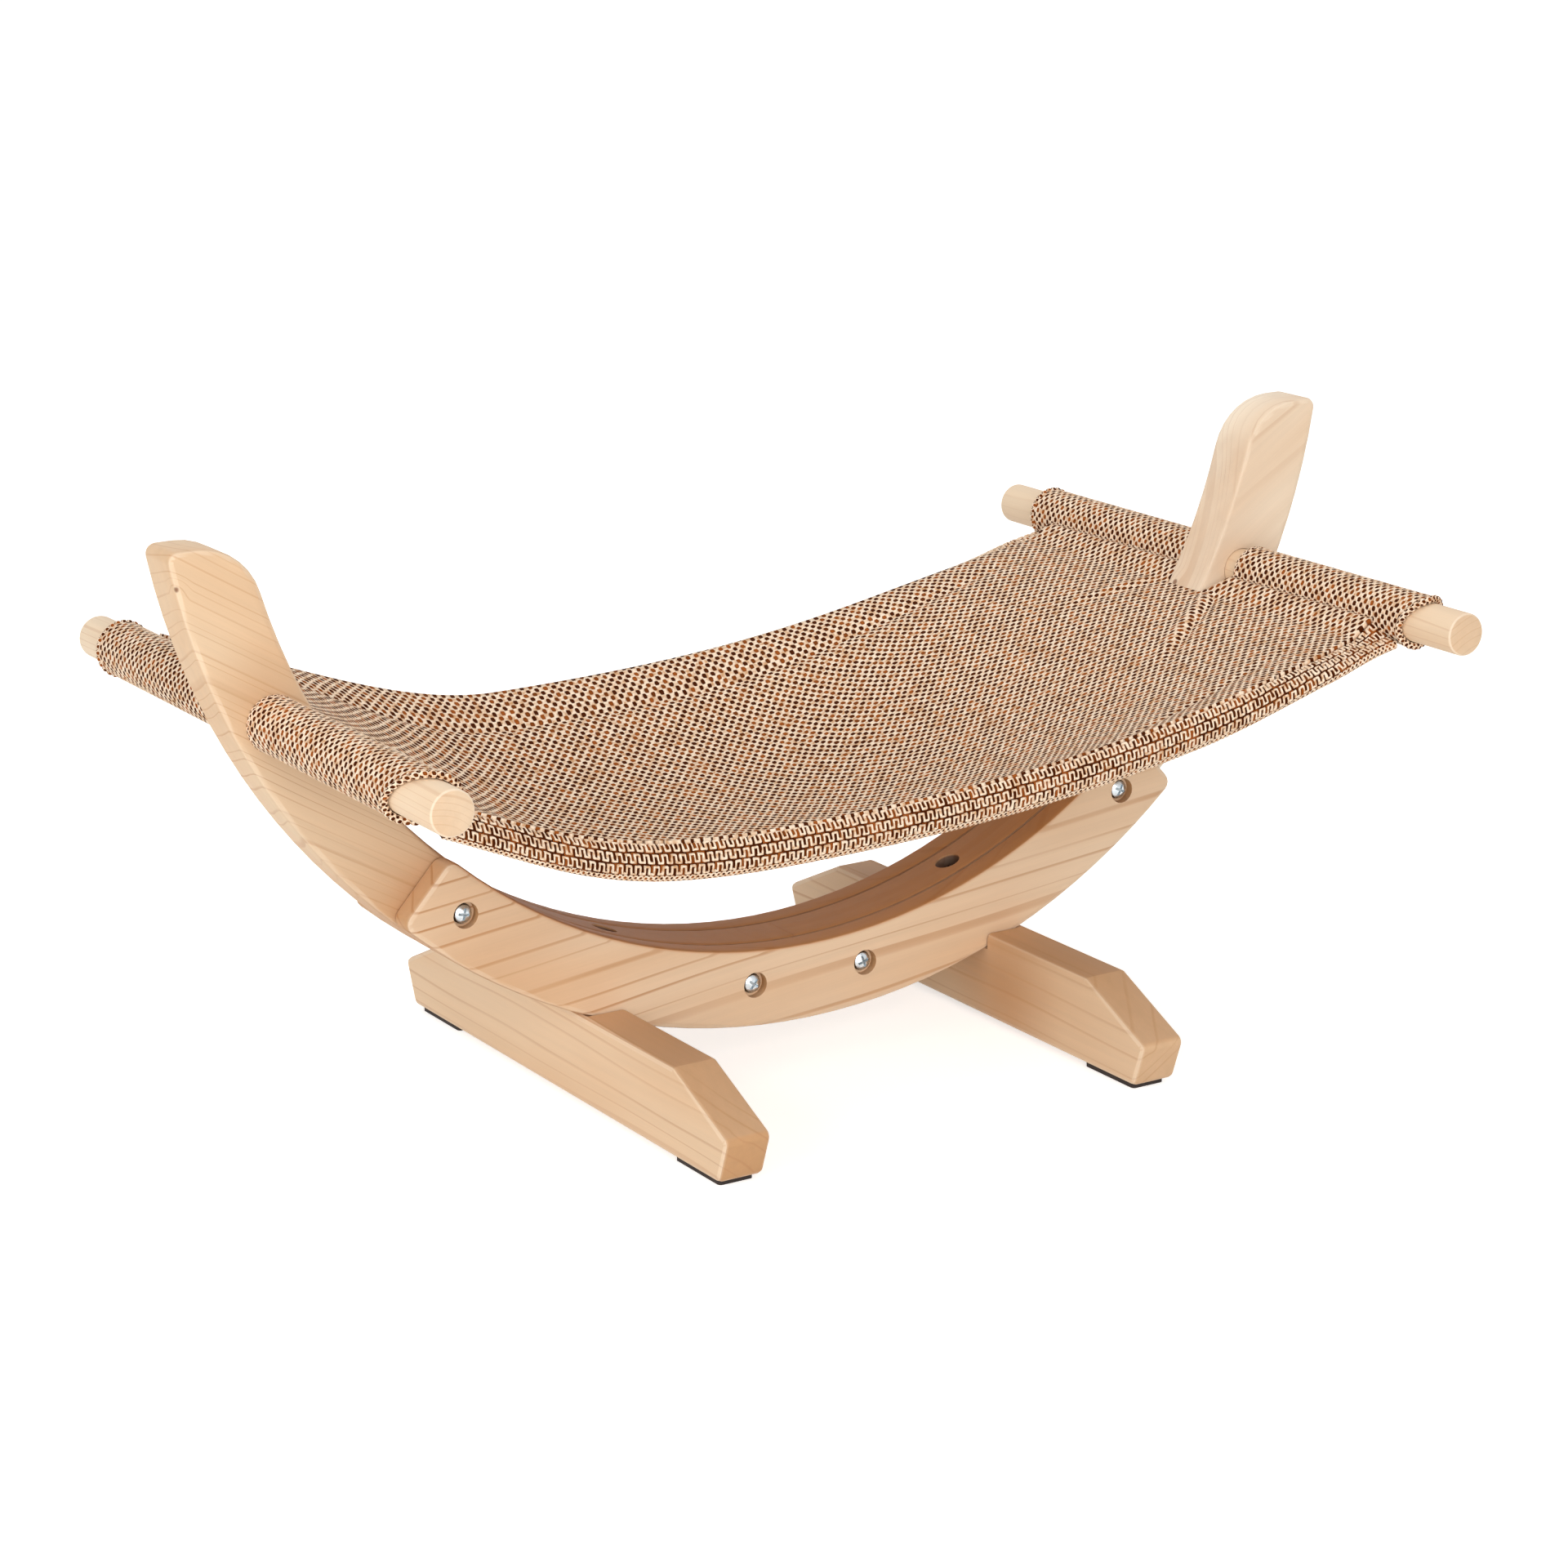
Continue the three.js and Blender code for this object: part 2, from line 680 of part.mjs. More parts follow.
function slingGeometry() {
  let sling = sheetSolid();
  [-1, 1].forEach((side) => {
    const places = sleevePlaces(side);
    sling = sling.add(sleeveSolid(side, places.front, places.slotFront, places.frontSlant));
    sling = sling.add(sleeveSolid(side, places.slotBack, places.back, 0));
  });
  [-1, 1].forEach((side) => {
    const reach = dowelLength / 2;
    const bore = barAlongY(sleeveBore, -reach, reach, dowelSides);
    sling = cut(sling, solidOf(bore.translate(side * dowelX, 0, dowelHeight)), ...slotSolids(side));
  });
  return geometryOf(sling);
}

const sides = [['left', -1], ['right', 1]];

sides.forEach(([word, side]) => {
  addPiece(`${word}_arm`, armGeometry(side), wood);
  addPiece(`${word}_foot`, footGeometry(side), endGrainWood);
  addPiece(`${word}_dowel`, dowelGeometry(), dowelWood).position.set(side * dowelX, 0, dowelHeight);

  const outward = new THREE.Vector3(side * Math.sin(footBoltAngle), 0, -Math.cos(footBoltAngle));
  const turn = new THREE.Quaternion().setFromUnitVectors(new THREE.Vector3(0, 1, 0), outward);
  const centre = new THREE.Vector3(0, 0, ringHeight);
  const bolt = addPiece(`${word}_foot_bolt`, screwGeometry(footBoltLength), zinc);
  bolt.quaternion.copy(turn);
  bolt.position.copy(outward).multiplyScalar(ringInner + footBoltHeadDepth - saddleGap).add(centre);
  const insert = addPiece(`${word}_foot_insert`, insertGeometry(footInsertLength), brass);
  insert.quaternion.copy(turn);
  insert.position.copy(outward).multiplyScalar(ringOuter + saddleGap + footInsertSink).add(centre);

  [['front', -1], ['back', 1]].forEach(([end, direction]) => {
    const pad = addPiece(`${end}_${word}_pad`, padGeometry(), rubber);
    const padY = footHalf - footUndercut - padInset - padLength / 2;
    pad.position.set(side * footOffset, direction * padY, padThickness / 2);
  });
});

addPiece('front_cheek', frontCheekGeometry(), wood);
addPiece('back_cheek', backCheekGeometry(), wood);

cheekScrewAngles.forEach((angle, i) => {
  const place = fromBelow(angle).multiplyScalar(cheekScrewRing);
  const screw = addPiece(`cheek_screw_${i + 1}`, screwGeometry(cheekScrewLength), zinc);
  screw.position.set(place.x, cheekHeadSeat, ringHeight + place.y);
  screw.rotation.y = cheekScrewTurns[i];
  const insert = addPiece(`cheek_insert_${i + 1}`, insertGeometry(cheekInsertLength), brass);
  insert.position.set(place.x, cheekInsertStart, ringHeight + place.y);
});

addPiece('sling', slingGeometry(), cloth);

export default hammock;
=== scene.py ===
"""Pet hammock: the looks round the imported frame, in pine, woven paper yarn, zinc plate and rubber."""

import math
from functools import partial

import bmesh
import bpy
import numpy as np
from mathutils import Matrix, Vector


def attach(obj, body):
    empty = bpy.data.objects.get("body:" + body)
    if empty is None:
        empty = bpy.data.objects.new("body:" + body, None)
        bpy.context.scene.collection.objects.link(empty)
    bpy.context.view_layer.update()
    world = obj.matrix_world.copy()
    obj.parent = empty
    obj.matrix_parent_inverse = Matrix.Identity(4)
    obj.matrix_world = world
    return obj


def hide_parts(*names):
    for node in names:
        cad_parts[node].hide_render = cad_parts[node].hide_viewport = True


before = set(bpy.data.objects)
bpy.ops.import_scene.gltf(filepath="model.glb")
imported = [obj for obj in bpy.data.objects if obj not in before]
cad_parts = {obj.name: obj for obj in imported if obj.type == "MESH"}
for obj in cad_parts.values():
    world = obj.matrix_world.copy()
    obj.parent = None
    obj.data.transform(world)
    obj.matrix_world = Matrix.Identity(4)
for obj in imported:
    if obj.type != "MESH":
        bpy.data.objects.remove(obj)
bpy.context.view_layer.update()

bl_info = {
    "name": "Pet hammock",
    "version": (1, 0, 0),
    "blender": (4, 5, 0),
    "location": "View3D > Sidebar > Hammock",
    "description": "Builds the finishes, the woven sling and the studio for a wooden pet hammock",
    "category": "Object",
}

MM = 0.001
UV_NAME = "Thread"
# Points of one piece that are nearer than this are one, in millimetres
WELD = 0.02

# The frame's own measures, in millimetres, as in the part's source
RING_INNER = 299.0
RING_MIDDLE = 319.5
RING_HEIGHT = 363.054
DOWEL_ANGLE = math.radians(63.45)
DOWEL_X = RING_MIDDLE * math.sin(DOWEL_ANGLE)
DOWEL_Z = RING_HEIGHT - RING_MIDDLE * math.cos(DOWEL_ANGLE)
DOWEL_RADIUS = 11.0
DOWEL_HALF = 200.0
SLEEVE_BORE = 11.4
SLEEVE_RADIUS = 14.4
SLEEVE_FACE = 13.95
ARM_HALF = 14.5
SEAM_ANGLE = math.radians(35.0)
SEAM_X = DOWEL_X - SLEEVE_RADIUS * math.cos(SEAM_ANGLE)
SEAM_Z = DOWEL_Z - SLEEVE_RADIUS * math.sin(SEAM_ANGLE)
# The slots begin where the spine's hollow face is as high as the seams
MOUTH_X = math.sqrt(RING_INNER ** 2 - (RING_HEIGHT - SEAM_Z) ** 2)

SIDES = {-1: "left", 1: "right"}

# The sling's lines, in millimetres: sleeve ends, crest, bowl and hems
SLEEVES = {
    -1: {"front": -183.0, "slant": 28.0, "slot_front": -15.5, "slot_back": 15.5, "back": 167.0},
    1: {"front": -174.0, "slant": 14.0, "slot_front": -27.0, "slot_back": 18.0, "back": 163.0},
}
TROUGH_X = -85.0
TROUGH_Z = DOWEL_Z - 50.2
FLAT_SHARE = 0.52
END_SLOPES = {-1: 0.41, 1: 0.146}
BACK_LIFT = 16.0
BACK_LIFT_START = 0.3
BOWL_DEPTH = 52.0
BOWL_TURNS = {-1: 170.0, 1: 260.0}
HEM_TURN = 120.0
LEFT_HEM_TURN = 0.75
HEM_FLAT = 19.0
PULL_IN = {"front": 9.0, "back": 17.0}
SLOT_HALF = 15.1
FRONT_SET_BACK = {-1: 0.0, 1: 9.0}
CORNER_SET_BACK = 5.0
CORNER_LENGTH = 45.0
FAIRING = {-1: (254.0, 0.0, 274.0), 1: (256.0, 6.0, 273.0)}

# The weave and the hem's loops: hole threshold, reach of a loop as a share of its row, cord radius in millimetres
HOLE_EDGE = 0.13
LOOP_REACH = 0.32
CORD_RADIUS = 0.62
# The cloth turned in under a hem: pitch of its threads along and round the hem in millimetres, and hole threshold
TURNED_PITCH = (1.4, 2.1)
TURNED_EDGE = 0.25
# How far the hem's loops stand out and how deep they start, and the middle line of a rim's tube, in millimetres
LOOP_RISE, LOOP_SINK, RIM_MIDDLE = 1.2, 0.6, 13.2
# Where the back crest's rise starts behind the front crest, in millimetres
RISE_INSET = 34.0
# Lines of points in the sheet, along and across it, in its slots' band, in a flap beside a slot, and in a hem
SHEET_COLUMNS, SHEET_ROWS, SLOT_ROWS, FLAP_COLUMNS, HEM_COLUMNS = 173, 48, 11, 8, 1240
# Points per thread round and along a sleeve, and per loop round a rim, and points round a rim's tube
THREAD_POINTS, LOOP_POINTS, TUBE_POINTS = (5, 4), 8, 13
# Edges flatter than this stay smooth on the carried nodes
SMOOTH_ANGLE = math.radians(32.0)


def linear(code):
    """One sRGB hex value as linear colour with full alpha."""
    parts = [int(code[i:i + 2], 16) / 255 for i in (1, 3, 5)]
    return tuple(c / 12.92 if c <= 0.04045 else ((c + 0.055) / 1.055) ** 2.4 for c in parts) + (1.0,)


def swatch(name, description, code):
    """A colour that a user can change, from its sRGB hex value."""
    return bpy.props.FloatVectorProperty(
        name=name, description=description, subtype="COLOR", size=4, min=0, max=1, default=linear(code))


def measure(name, description, millimetres):
    """A length that a user can change, from its value in millimetres."""
    return bpy.props.FloatProperty(
        name=name, description=description, default=millimetres * MM, min=0.0001, max=1, unit="LENGTH")


class HammockSizes(bpy.types.PropertyGroup):
    """Sizes that shape the looks."""

    thread_x: measure("Thread pitch along", "Distance between threads along the hammock", 2.6)
    thread_y: measure("Thread pitch across", "Distance between threads along the dowels", 2.6)
    cloth: measure("Cloth thickness", "Thickness of the woven sheet", 2.4)
    relief: measure("Strand relief", "How far a strand stands out of the cloth", 0.35)
    loop_x: measure("Hem loop pitch", "Distance between loops along a hem", 4.9)
    loop_row: measure("Hem row pitch", "Distance between two rows of loops on a hem", 5.6)
    rim_loop: measure("Rim loop pitch", "Distance between loops round a sleeve's end", 3.3)
    ring: measure("Growth ring", "Usual distance between growth rings of the pine", 5.0)


class HammockColours(bpy.types.PropertyGroup):
    """Colours of the finishes."""

    cheek: swatch("Cheek pine", "Early wood of the cheeks", "#EACDAD")
    arm: swatch("Arm pine", "Early wood of the left arm", "#E6C8A5")
    pale_arm: swatch("Pale arm pine", "Early wood of the right arm", "#F4E2CA")
    foot: swatch("Foot pine", "Early wood of the feet", "#E8C9A6")
    dowel: swatch("Dowel pine", "Early wood of the dowels", "#EED6B8")
    heart: swatch("Heartwood", "Warmer patches along the boards", "#DDAE7F")
    late_wood: swatch("Late wood", "Narrow dark side of each growth ring", "#B98355")
    end_grain: swatch("End grain", "Wood cut across its fibres", "#C2905F")
    # Painted shade and warm bounce light on faces that look up low down, partly a warmer tone of the wood
    oiled: swatch("Oiled face", "Faces where the oil stood", "#C08A57")
    # Painted shade and warm bounce light on the spine's hollow face under the sling
    hollow: swatch("Oiled hollow", "Concave face of the spine, where the oil ran together", "#CE8B4A")
    # A painted highlight on the rounded edges
    sanded: swatch("Sanded arris", "Rounded edges that were sanded pale", "#F5E3CC")
    knot: swatch("Knot", "Small knots and nicks", "#7A4B2A")
    cream: swatch("Cream yarn", "Pale strands of the cloth", "#FFE8CE")
    tan: swatch("Tan yarn", "Tan strands of the cloth", "#D09A66")
    # Painted shade in the creases between strands
    painted_crease_shade: swatch("Crease", "Yarn in the creases between strands", "#8C5024")
    orange: swatch("Orange yarn", "Orange-brown yarn behind the holes", "#A85A24")
    # Also used for painted shade in the spine's bored holes
    dark: swatch("Dark yarn", "Dark yarn behind the holes", "#4A1C02")
    zinc: swatch("Zinc", "Plated screws and bolts", "#E6EBEE")
    brass: swatch("Brass", "Threaded inserts", "#B89B5A")
    rubber: swatch("Rubber", "Pads under the feet", "#2F2521")
    floor: swatch("Floor", "Studio floor and backdrop", "#F4F4F2")


# The setting that a kind of node takes after its name, as in "Math ADD"
MODES = {"Math": "operation", "VectorMath": "operation", "Mix": "data_type", "MapRange": "interpolation_type",
         "TexNoise": "noise_dimensions", "TexWhiteNoise": "noise_dimensions", "Mapping": "vector_type"}


def fill(node, values):
    """Fills or links a node's inputs, by name or place. A node as a value stands for its first output in use."""
    for key, value in values.items():
        if isinstance(value, bpy.types.Node):
            value = next(output for output in value.outputs if output.enabled)
        if isinstance(value, bpy.types.NodeSocket):
            node.id_data.links.new(value, node.inputs[key])
        else:
            node.inputs[key].default_value = value


def add_node(tree, kind, *values, **named):
    """Adds one node. Values go to its inputs in use in order, or by name, and lower-case names are settings."""
    kind, _, mode = kind.partition(" ")
    node = tree.nodes.new(kind if "Node" in kind else "ShaderNode" + kind)
    if mode:
        setattr(node, MODES[kind], mode)
    for key in [key for key in named if key.islower()]:
        setattr(node, key, named.pop(key))
    places = [place for place, socket in enumerate(node.inputs) if socket.enabled]
    fill(node, {**dict(zip(places, values)), **named})
    return node


def start_material(name):
    """An empty node material, its shader, and the function that adds nodes to it."""
    material = bpy.data.materials.new(name)
    material.use_nodes = True
    tree = material.node_tree
    tree.nodes.clear()
    add = partial(add_node, tree)
    shader = add("BsdfPrincipled")
    add("OutputMaterial", shader)
    return material, shader, add


def pine(name, colours, early, ring, contrast, grain, pith, seed, face_axis, marks=(), shades=(), ends=0.9,
         spine=False):
    """Planed and oiled pine. Growth rings are shells round a pith line that runs along the grain.

    Narrow late-wood lines show on the faces, arcs on the end grain. The rounded arrises get a painted highlight, and
    faces that look up low down a deeper, warmer colour, partly painted shade and warm bounce light, partly a warmer
    tone of the wood; listed patches are painted darker and warmer too. The fibres give a satin gloss. A board of the
    spine has painted shade and bounce light in its hollow, painted shade in the bored holes and dark glue lines.
    """
    material, shader, add = start_material(name)
    place, normal = (add("TexCoord").outputs[space] for space in ("Object", "Normal"))
    along, faced = (add("Mapping TEXTURE", space, Rotation=grain) for space in (place, normal))

    # The rings are shells round the pith that wander slowly along the board and bulge round a knot
    drift = add("TexNoise 4D", add("VectorMath MULTIPLY", along, (2.6, 11.0, 11.0)), W=seed, Scale=1.0, Detail=2.0)
    spoke = add("VectorMath MULTIPLY", add("VectorMath SUBTRACT", along, (0.0, *pith)), (0.0, 1.0, 1.0))
    moved = add("Math MULTIPLY_ADD", add("Math SUBTRACT", drift, 0.5), 0.026, add("VectorMath LENGTH", spoke))
    stains = []
    for spot, size, depth in marks:
        away = add("VectorMath DISTANCE", place, spot)
        moved = add("Math ADD", moved, add("MapRange SMOOTHSTEP", away, 0.0, size * 6, size * 2, 0.0))
        stains.append(add("MapRange SMOOTHSTEP", away, size * 0.5, size * 1.3, depth, 0.0))

    # Ring widths vary, and each ring darkens slowly and ends sharply
    uneven = add("TexNoise 1D", W=add("Math MULTIPLY_ADD", moved, 0.45 / ring, seed), Scale=1.0, Detail=1.0)
    count = add("Math MULTIPLY_ADD", uneven, 1.9, add("Math MULTIPLY", moved, 1 / ring))
    part = add("Math FRACT", count)
    line = add("Math MAXIMUM", add("MapRange SMOOTHSTEP", part, 0.84, 0.96),
               add("MapRange SMOOTHSTEP", part, 0.0, 0.04, 1.0, 0.0))
    ring_weight = add("TexWhiteNoise 1D", W=add("Math FLOOR", add("Math ADD", count, -0.5)))
    fade = add("TexNoise", add("VectorMath MULTIPLY", along, (7.0, 25.0, 25.0)), Scale=1.0, Detail=1.0)
    strength = add("MapRange", fade, 0.3, 0.7, 0.1 * contrast, contrast)
    strength = add("Math MULTIPLY_ADD", ring_weight, contrast * 0.5, strength)
    shown = add("Math MULTIPLY", line, strength, use_clamp=True)

    # Fine fibres, which also carry the bump, about 0.5 mm across and 30 mm long, and broader streaks
    fibre = add("TexNoise", add("VectorMath MULTIPLY", along, (30.0, 1500.0, 1500.0)), Scale=1.0, Detail=2.0)
    streak = add("TexNoise 4D", add("VectorMath MULTIPLY", along, (6.0, 240.0, 240.0)), W=seed, Scale=1.0, Detail=3.0)
    tone = add("TexNoise 4D", add("VectorMath MULTIPLY", along, (5.0, 26.0, 26.0)), W=seed, Scale=1.0, Detail=2.0)
    warm = add("MapRange", tone, 0.4, 0.72, 0.0, 0.5)

    # End grain, where the surface faces along the fibres
    facing = add("Math ABSOLUTE", add("VectorMath DOT_PRODUCT", faced, (1.0, 0.0, 0.0)))
    across = add("MapRange SMOOTHSTEP", facing, 0.3, 0.95, 0.0, ends)
    end_tone = add("Mix RGBA", shown, colours.end_grain, colours.late_wood)

    # Faces that look up low down, on the feet and the bottom of the spine, get the oiled colour: partly painted shade
    # and warm bounce light, partly a warmer tone of the wood
    up = add("SeparateXYZ", normal).outputs["Z"]
    x, y, z = add("SeparateXYZ", place).outputs
    lower = add("MapRange SMOOTHSTEP", z, 0.12, 0.19, 1.0, 0.0)
    tone_and_painted_shade = add("Math MULTIPLY", add("MapRange SMOOTHSTEP", up, 0.3, 0.85, 0.0, 0.48), lower)
    # Listed patches add to it: painted shadow of the spine on the right foot, darker and warmer patches elsewhere
    for spot, size, depth in shades:
        away = add("VectorMath DISTANCE", place, spot)
        tone_and_painted_shade = add("Math MAXIMUM", tone_and_painted_shade, add("MapRange SMOOTHSTEP", away, 0.0, size, depth, 0.0))

    # Rounded arrises lie between a board's face and its edges: they get a painted highlight
    square = add("Math POWER", add("VectorMath DOT_PRODUCT", normal, face_axis), 2.0)
    arris = add("Math MULTIPLY", square, add("Math SUBTRACT", 1.0, square))
    arris = add("MapRange", arris, 0.03, 0.2, 0.0, 0.5)
    layers = [(shown, colours.late_wood), (warm, colours.heart), (across, end_tone), (tone_and_painted_shade, colours.oiled),
              (arris, colours.sanded)]
    if spine:
        # Depth under the hollow face, from the distance to the ring's centre, and distances beside the middle
        spoke = add("CombineXYZ", x, 0.0, add("Math SUBTRACT", z, RING_HEIGHT * MM))
        under = add("Math SUBTRACT", add("VectorMath LENGTH", spoke), RING_INNER * MM)
        beside = add("Math ABSOLUTE", y)
        # Painted shade and warm bounce light on the hollow face under the sling, low down
        hollow = add("MapRange SMOOTHSTEP", under, 0.0003, 0.002, 0.75, 0.0)
        hollow = add("Math MULTIPLY", hollow, lower)
        seam = add("Math ABSOLUTE", add("Math SUBTRACT", beside, ARM_HALF * MM))
        seam = add("Math MULTIPLY", add("MapRange SMOOTHSTEP", seam, 0.0005, 0.0013, 1.0, 0.0), hollow)
        # Painted shade down in the bored holes of the hollow face
        inside = add("MapRange", under, 0.0002, 0.0012, 0.0, 0.8)
        middle, shallow = add("Math LESS_THAN", beside, ARM_HALF * 0.7 * MM), add("Math LESS_THAN", under, 0.025)
        for limit in (middle, shallow, lower):
            inside = add("Math MULTIPLY", inside, limit)
        layers += [(hollow, colours.hollow), (seam, colours.knot), (inside, colours.dark)]
    board = early
    for mask, colour in layers + [(stain, colours.knot) for stain in stains]:
        board = add("Mix RGBA", mask, board, colour)

    shade = add("Math MULTIPLY_ADD", streak, 0.14, add("Math MULTIPLY_ADD", fibre, 0.08, 0.89))
    gloss = add("MapRange", fibre, 0.2, 0.8, 0.5, 0.66)
    bump = add("Bump", Height=add("Math MULTIPLY_ADD", shown, -0.8, fibre), Strength=0.25, Distance=0.00015)
    fill(shader, {"Base Color": add("VectorMath SCALE", board, shade), "Roughness": gloss, "Normal": bump})
    return material


def plated_steel(name, colour, axis, top, inward):
    """Zinc-plated steel, cold formed and blank plated: bright, with soft patches and a faint cold tint.

    Painted shade darkens it down in the recess, with the depth below the head's top.
    """
    material, shader, add = start_material(name)
    place = add("TexCoord").outputs["Object"]
    patch = add("TexNoise", place, Scale=400.0, Detail=3.0)
    tint = add("Mix RGBA", patch, colour, linear("#C2CDD4"))
    height = add("SeparateXYZ", place).outputs[axis]
    # Painted shade in the recess and on the head's lower flank, by depth below the top
    deep = add("MapRange SMOOTHSTEP", height, top + inward * 0.0013, top + inward * 0.0021, 0.0, 0.9)
    tint = add("Mix RGBA", deep, tint, linear("#2C3A3F"))
    gloss = add("MapRange", patch, 0.3, 0.7, 0.2, 0.36)
    bump = add("Bump", Height=patch, Strength=0.15, Distance=0.0001)
    fill(shader, {"Metallic": 1.0, "Base Color": tint, "Roughness": gloss, "Normal": bump})
    return material


def turned_brass(name, colour):
    """Free-cutting brass, turned on a lathe: warm, with fine rings left by the tool."""
    material, shader, add = start_material(name)
    place = add("TexCoord").outputs["Object"]
    rings = add("TexWave", place, Scale=300.0, Distortion=0.5, wave_type="BANDS", bands_direction="Y")
    tint = add("Mix RGBA", rings.outputs["Fac"], colour, linear("#9C8043"))
    bump = add("Bump", Height=rings.outputs["Fac"], Strength=0.2, Distance=0.0001)
    fill(shader, {"Metallic": 1.0, "Roughness": 0.35, "Base Color": tint, "Normal": bump})
    return material


def cut_rubber(name, colour):
    """Black-brown sheet rubber, die cut: matt, with a fine grain of about 0.7 mm and greyer dust on it."""
    material, shader, add = start_material(name)
    place = add("TexCoord").outputs["Object"]
    grain = add("TexNoise", place, Scale=1400.0, Detail=3.0)
    dust = add("TexNoise", place, Scale=90.0, Detail=3.0)
    some = add("MapRange", dust, 0.45, 0.8, 0.0, 0.35)
    tint = add("Mix RGBA", some, colour, linear("#5A4D45"))
    bump = add("Bump", Height=grain, Strength=0.5, Distance=0.0003)
    fill(shader, {"Roughness": 0.82, "Base Color": tint, "Normal": bump})
    return material


def cloth_colour(add, shader, colours, strand, hole, place, cell, relief):
    """Colours a cloth from its strand height and its holes, both 0 to 1, and gives it bump, gloss and sheen.

    Strands are cream, with painted shade in the creases between them. The yarn behind the holes is dark, now and then
    orange-brown. Every strand varies in tone, because the yarn is uneven, and its plies show as fine lines.
    """
    chance = add("TexWhiteNoise 2D", cell)
    slow = add("TexNoise", place, Scale=0.2, Detail=2.0)
    quick = add("TexNoise", place, Scale=0.9, Detail=1.0)
    ply = add("TexNoise", add("VectorMath MULTIPLY", place, (1.6, 6.0, 1.0)), Scale=1.0, Detail=2.0)
    warm = add("MapRange", chance, 0.5, 0.95, 0.0, 0.9)
    yarn = colours.cream
    for mask, colour in (
            (add("MapRange", quick, 0.44, 0.72, 0.0, 0.85), colours.tan),
            (add("MapRange", slow, 0.52, 0.78, 0.0, 0.5), colours.tan),
            # Painted shade where a strand is low, in the creases
            (add("MapRange", strand, 0.1, 0.7, 0.78, 0.0), colours.painted_crease_shade),
            (hole, add("Mix RGBA", warm, colours.dark, colours.orange))):
        yarn = add("Mix RGBA", mask, yarn, colour)
    colour = add("VectorMath SCALE", yarn, add("Math MULTIPLY_ADD", ply, 0.3, 0.86))
    rough = add("Math MULTIPLY_ADD", ply, 0.12, 0.8)
    height = add("Math MULTIPLY_ADD", hole, -0.9, add("Math MULTIPLY_ADD", ply, 0.15, strand))
    bump = add("Bump", Height=height, Strength=0.8, Distance=relief)
    fill(shader, {"Base Color": colour, "Roughness": rough, "Normal": bump, "Specular IOR Level": 0.06,
                  "Sheen Weight": 0.04, "Sheen Tint": linear("#E0A870")})


def swayed(add, place, scale, amount):
    """A place moved a little by slow noise about zero, as strands wander."""
    noise = add("TexNoise", place, Scale=scale, Detail=1.0).outputs["Color"]
    noise = add("VectorMath SUBTRACT", noise, (0.5, 0.5, 0.5))
    return add("VectorMath ADD", place, add("VectorMath SCALE", noise, amount))


def round_strand(add, off):
    """Height of a round strand, 0 to 1: the root of one less the square of the distance from its middle line."""
    square = add("Math MULTIPLY", off, off)
    return add("Math SQRT", add("Math SUBTRACT", 1.0, square, use_clamp=True))


def woven_cloth(name, colours, pitch, wobble, relief, edge=HOLE_EDGE):
    """Chunky plain weave of cream paper yarn over dark and orange-brown yarn.

    Fat cream strands run side by side and part round a small dark hole at every second crossing, in a brick
    pattern. Strands wander a little.
    """
    material, shader, add = start_material(name)
    thread = add("UVMap", uv_map=UV_NAME)
    cells = add("VectorMath MULTIPLY", thread, (1 / pitch[0], 1 / pitch[1], 0.0))
    moved = swayed(add, cells, 0.7, wobble)
    nearest = add("VectorMath FLOOR", add("VectorMath ADD", moved, (0.5, 0.5, 0.0)))
    x, y = add("SeparateXYZ", moved).outputs[:2]
    parting = add("Math MULTIPLY", *(add("Math COSINE", add("Math MULTIPLY", axis, math.pi)) for axis in (x, y)))
    hole = add("MapRange SMOOTHSTEP", parting, edge - 0.1, edge + 0.1)
    aside = add("Math MULTIPLY_ADD", parting, -0.12, add("Math PINGPONG", y, 0.5))
    strand = round_strand(add, add("Math MULTIPLY_ADD", aside, -2.0, 1.0))
    strand = add("Math MULTIPLY", strand, add("Math MULTIPLY_ADD", parting, -0.25, 0.75))
    cloth_colour(add, shader, colours, strand, hole, moved, nearest, relief)
    return material


def looped_hem(name, colours, pitch, row, relief):
    """Knitted rows along the hem: in each row one cream cord winds up and down round dark upright slits.

    The slits and the lines between rows show the dark yarn behind. The cord's middle line is a square wave.
    """
    material, shader, add = start_material(name)
    thread = add("UVMap", uv_map=UV_NAME)
    moved = swayed(add, add("VectorMath SCALE", thread, 1 / MM), 0.16, 1.2)
    x, y = add("SeparateXYZ", moved).outputs[:2]
    swing = add("Math SUBTRACT", add("Math PINGPONG", x, pitch / 2), pitch / 4)
    up = add("Math MULTIPLY_ADD", add("Math FRACT", add("Math MULTIPLY", y, 1 / row)), row, -row / 2)
    reach = add("Math SUBTRACT", add("Math ABSOLUTE", up), row * LOOP_REACH)
    bar = add("VectorMath LENGTH", add("CombineXYZ", swing, add("Math MAXIMUM", reach, 0.0), 0.0))
    arch = add("Math MULTIPLY", up, add("Math SIGN", swing))
    arch = add("Math ABSOLUTE", add("Math ADD", arch, row * LOOP_REACH))
    away = add("Math MINIMUM", bar, arch)
    strand = round_strand(add, add("Math MULTIPLY", away, 1 / CORD_RADIUS))
    hole = add("MapRange", away, CORD_RADIUS * 0.92, CORD_RADIUS * 1.12)
    cell = add("VectorMath FLOOR", add("VectorMath MULTIPLY", moved, (2 / pitch, 1 / row, 0.0)))
    cloth_colour(add, shader, colours, strand, hole, add("VectorMath SCALE", moved, 0.5), cell, relief)
    return material


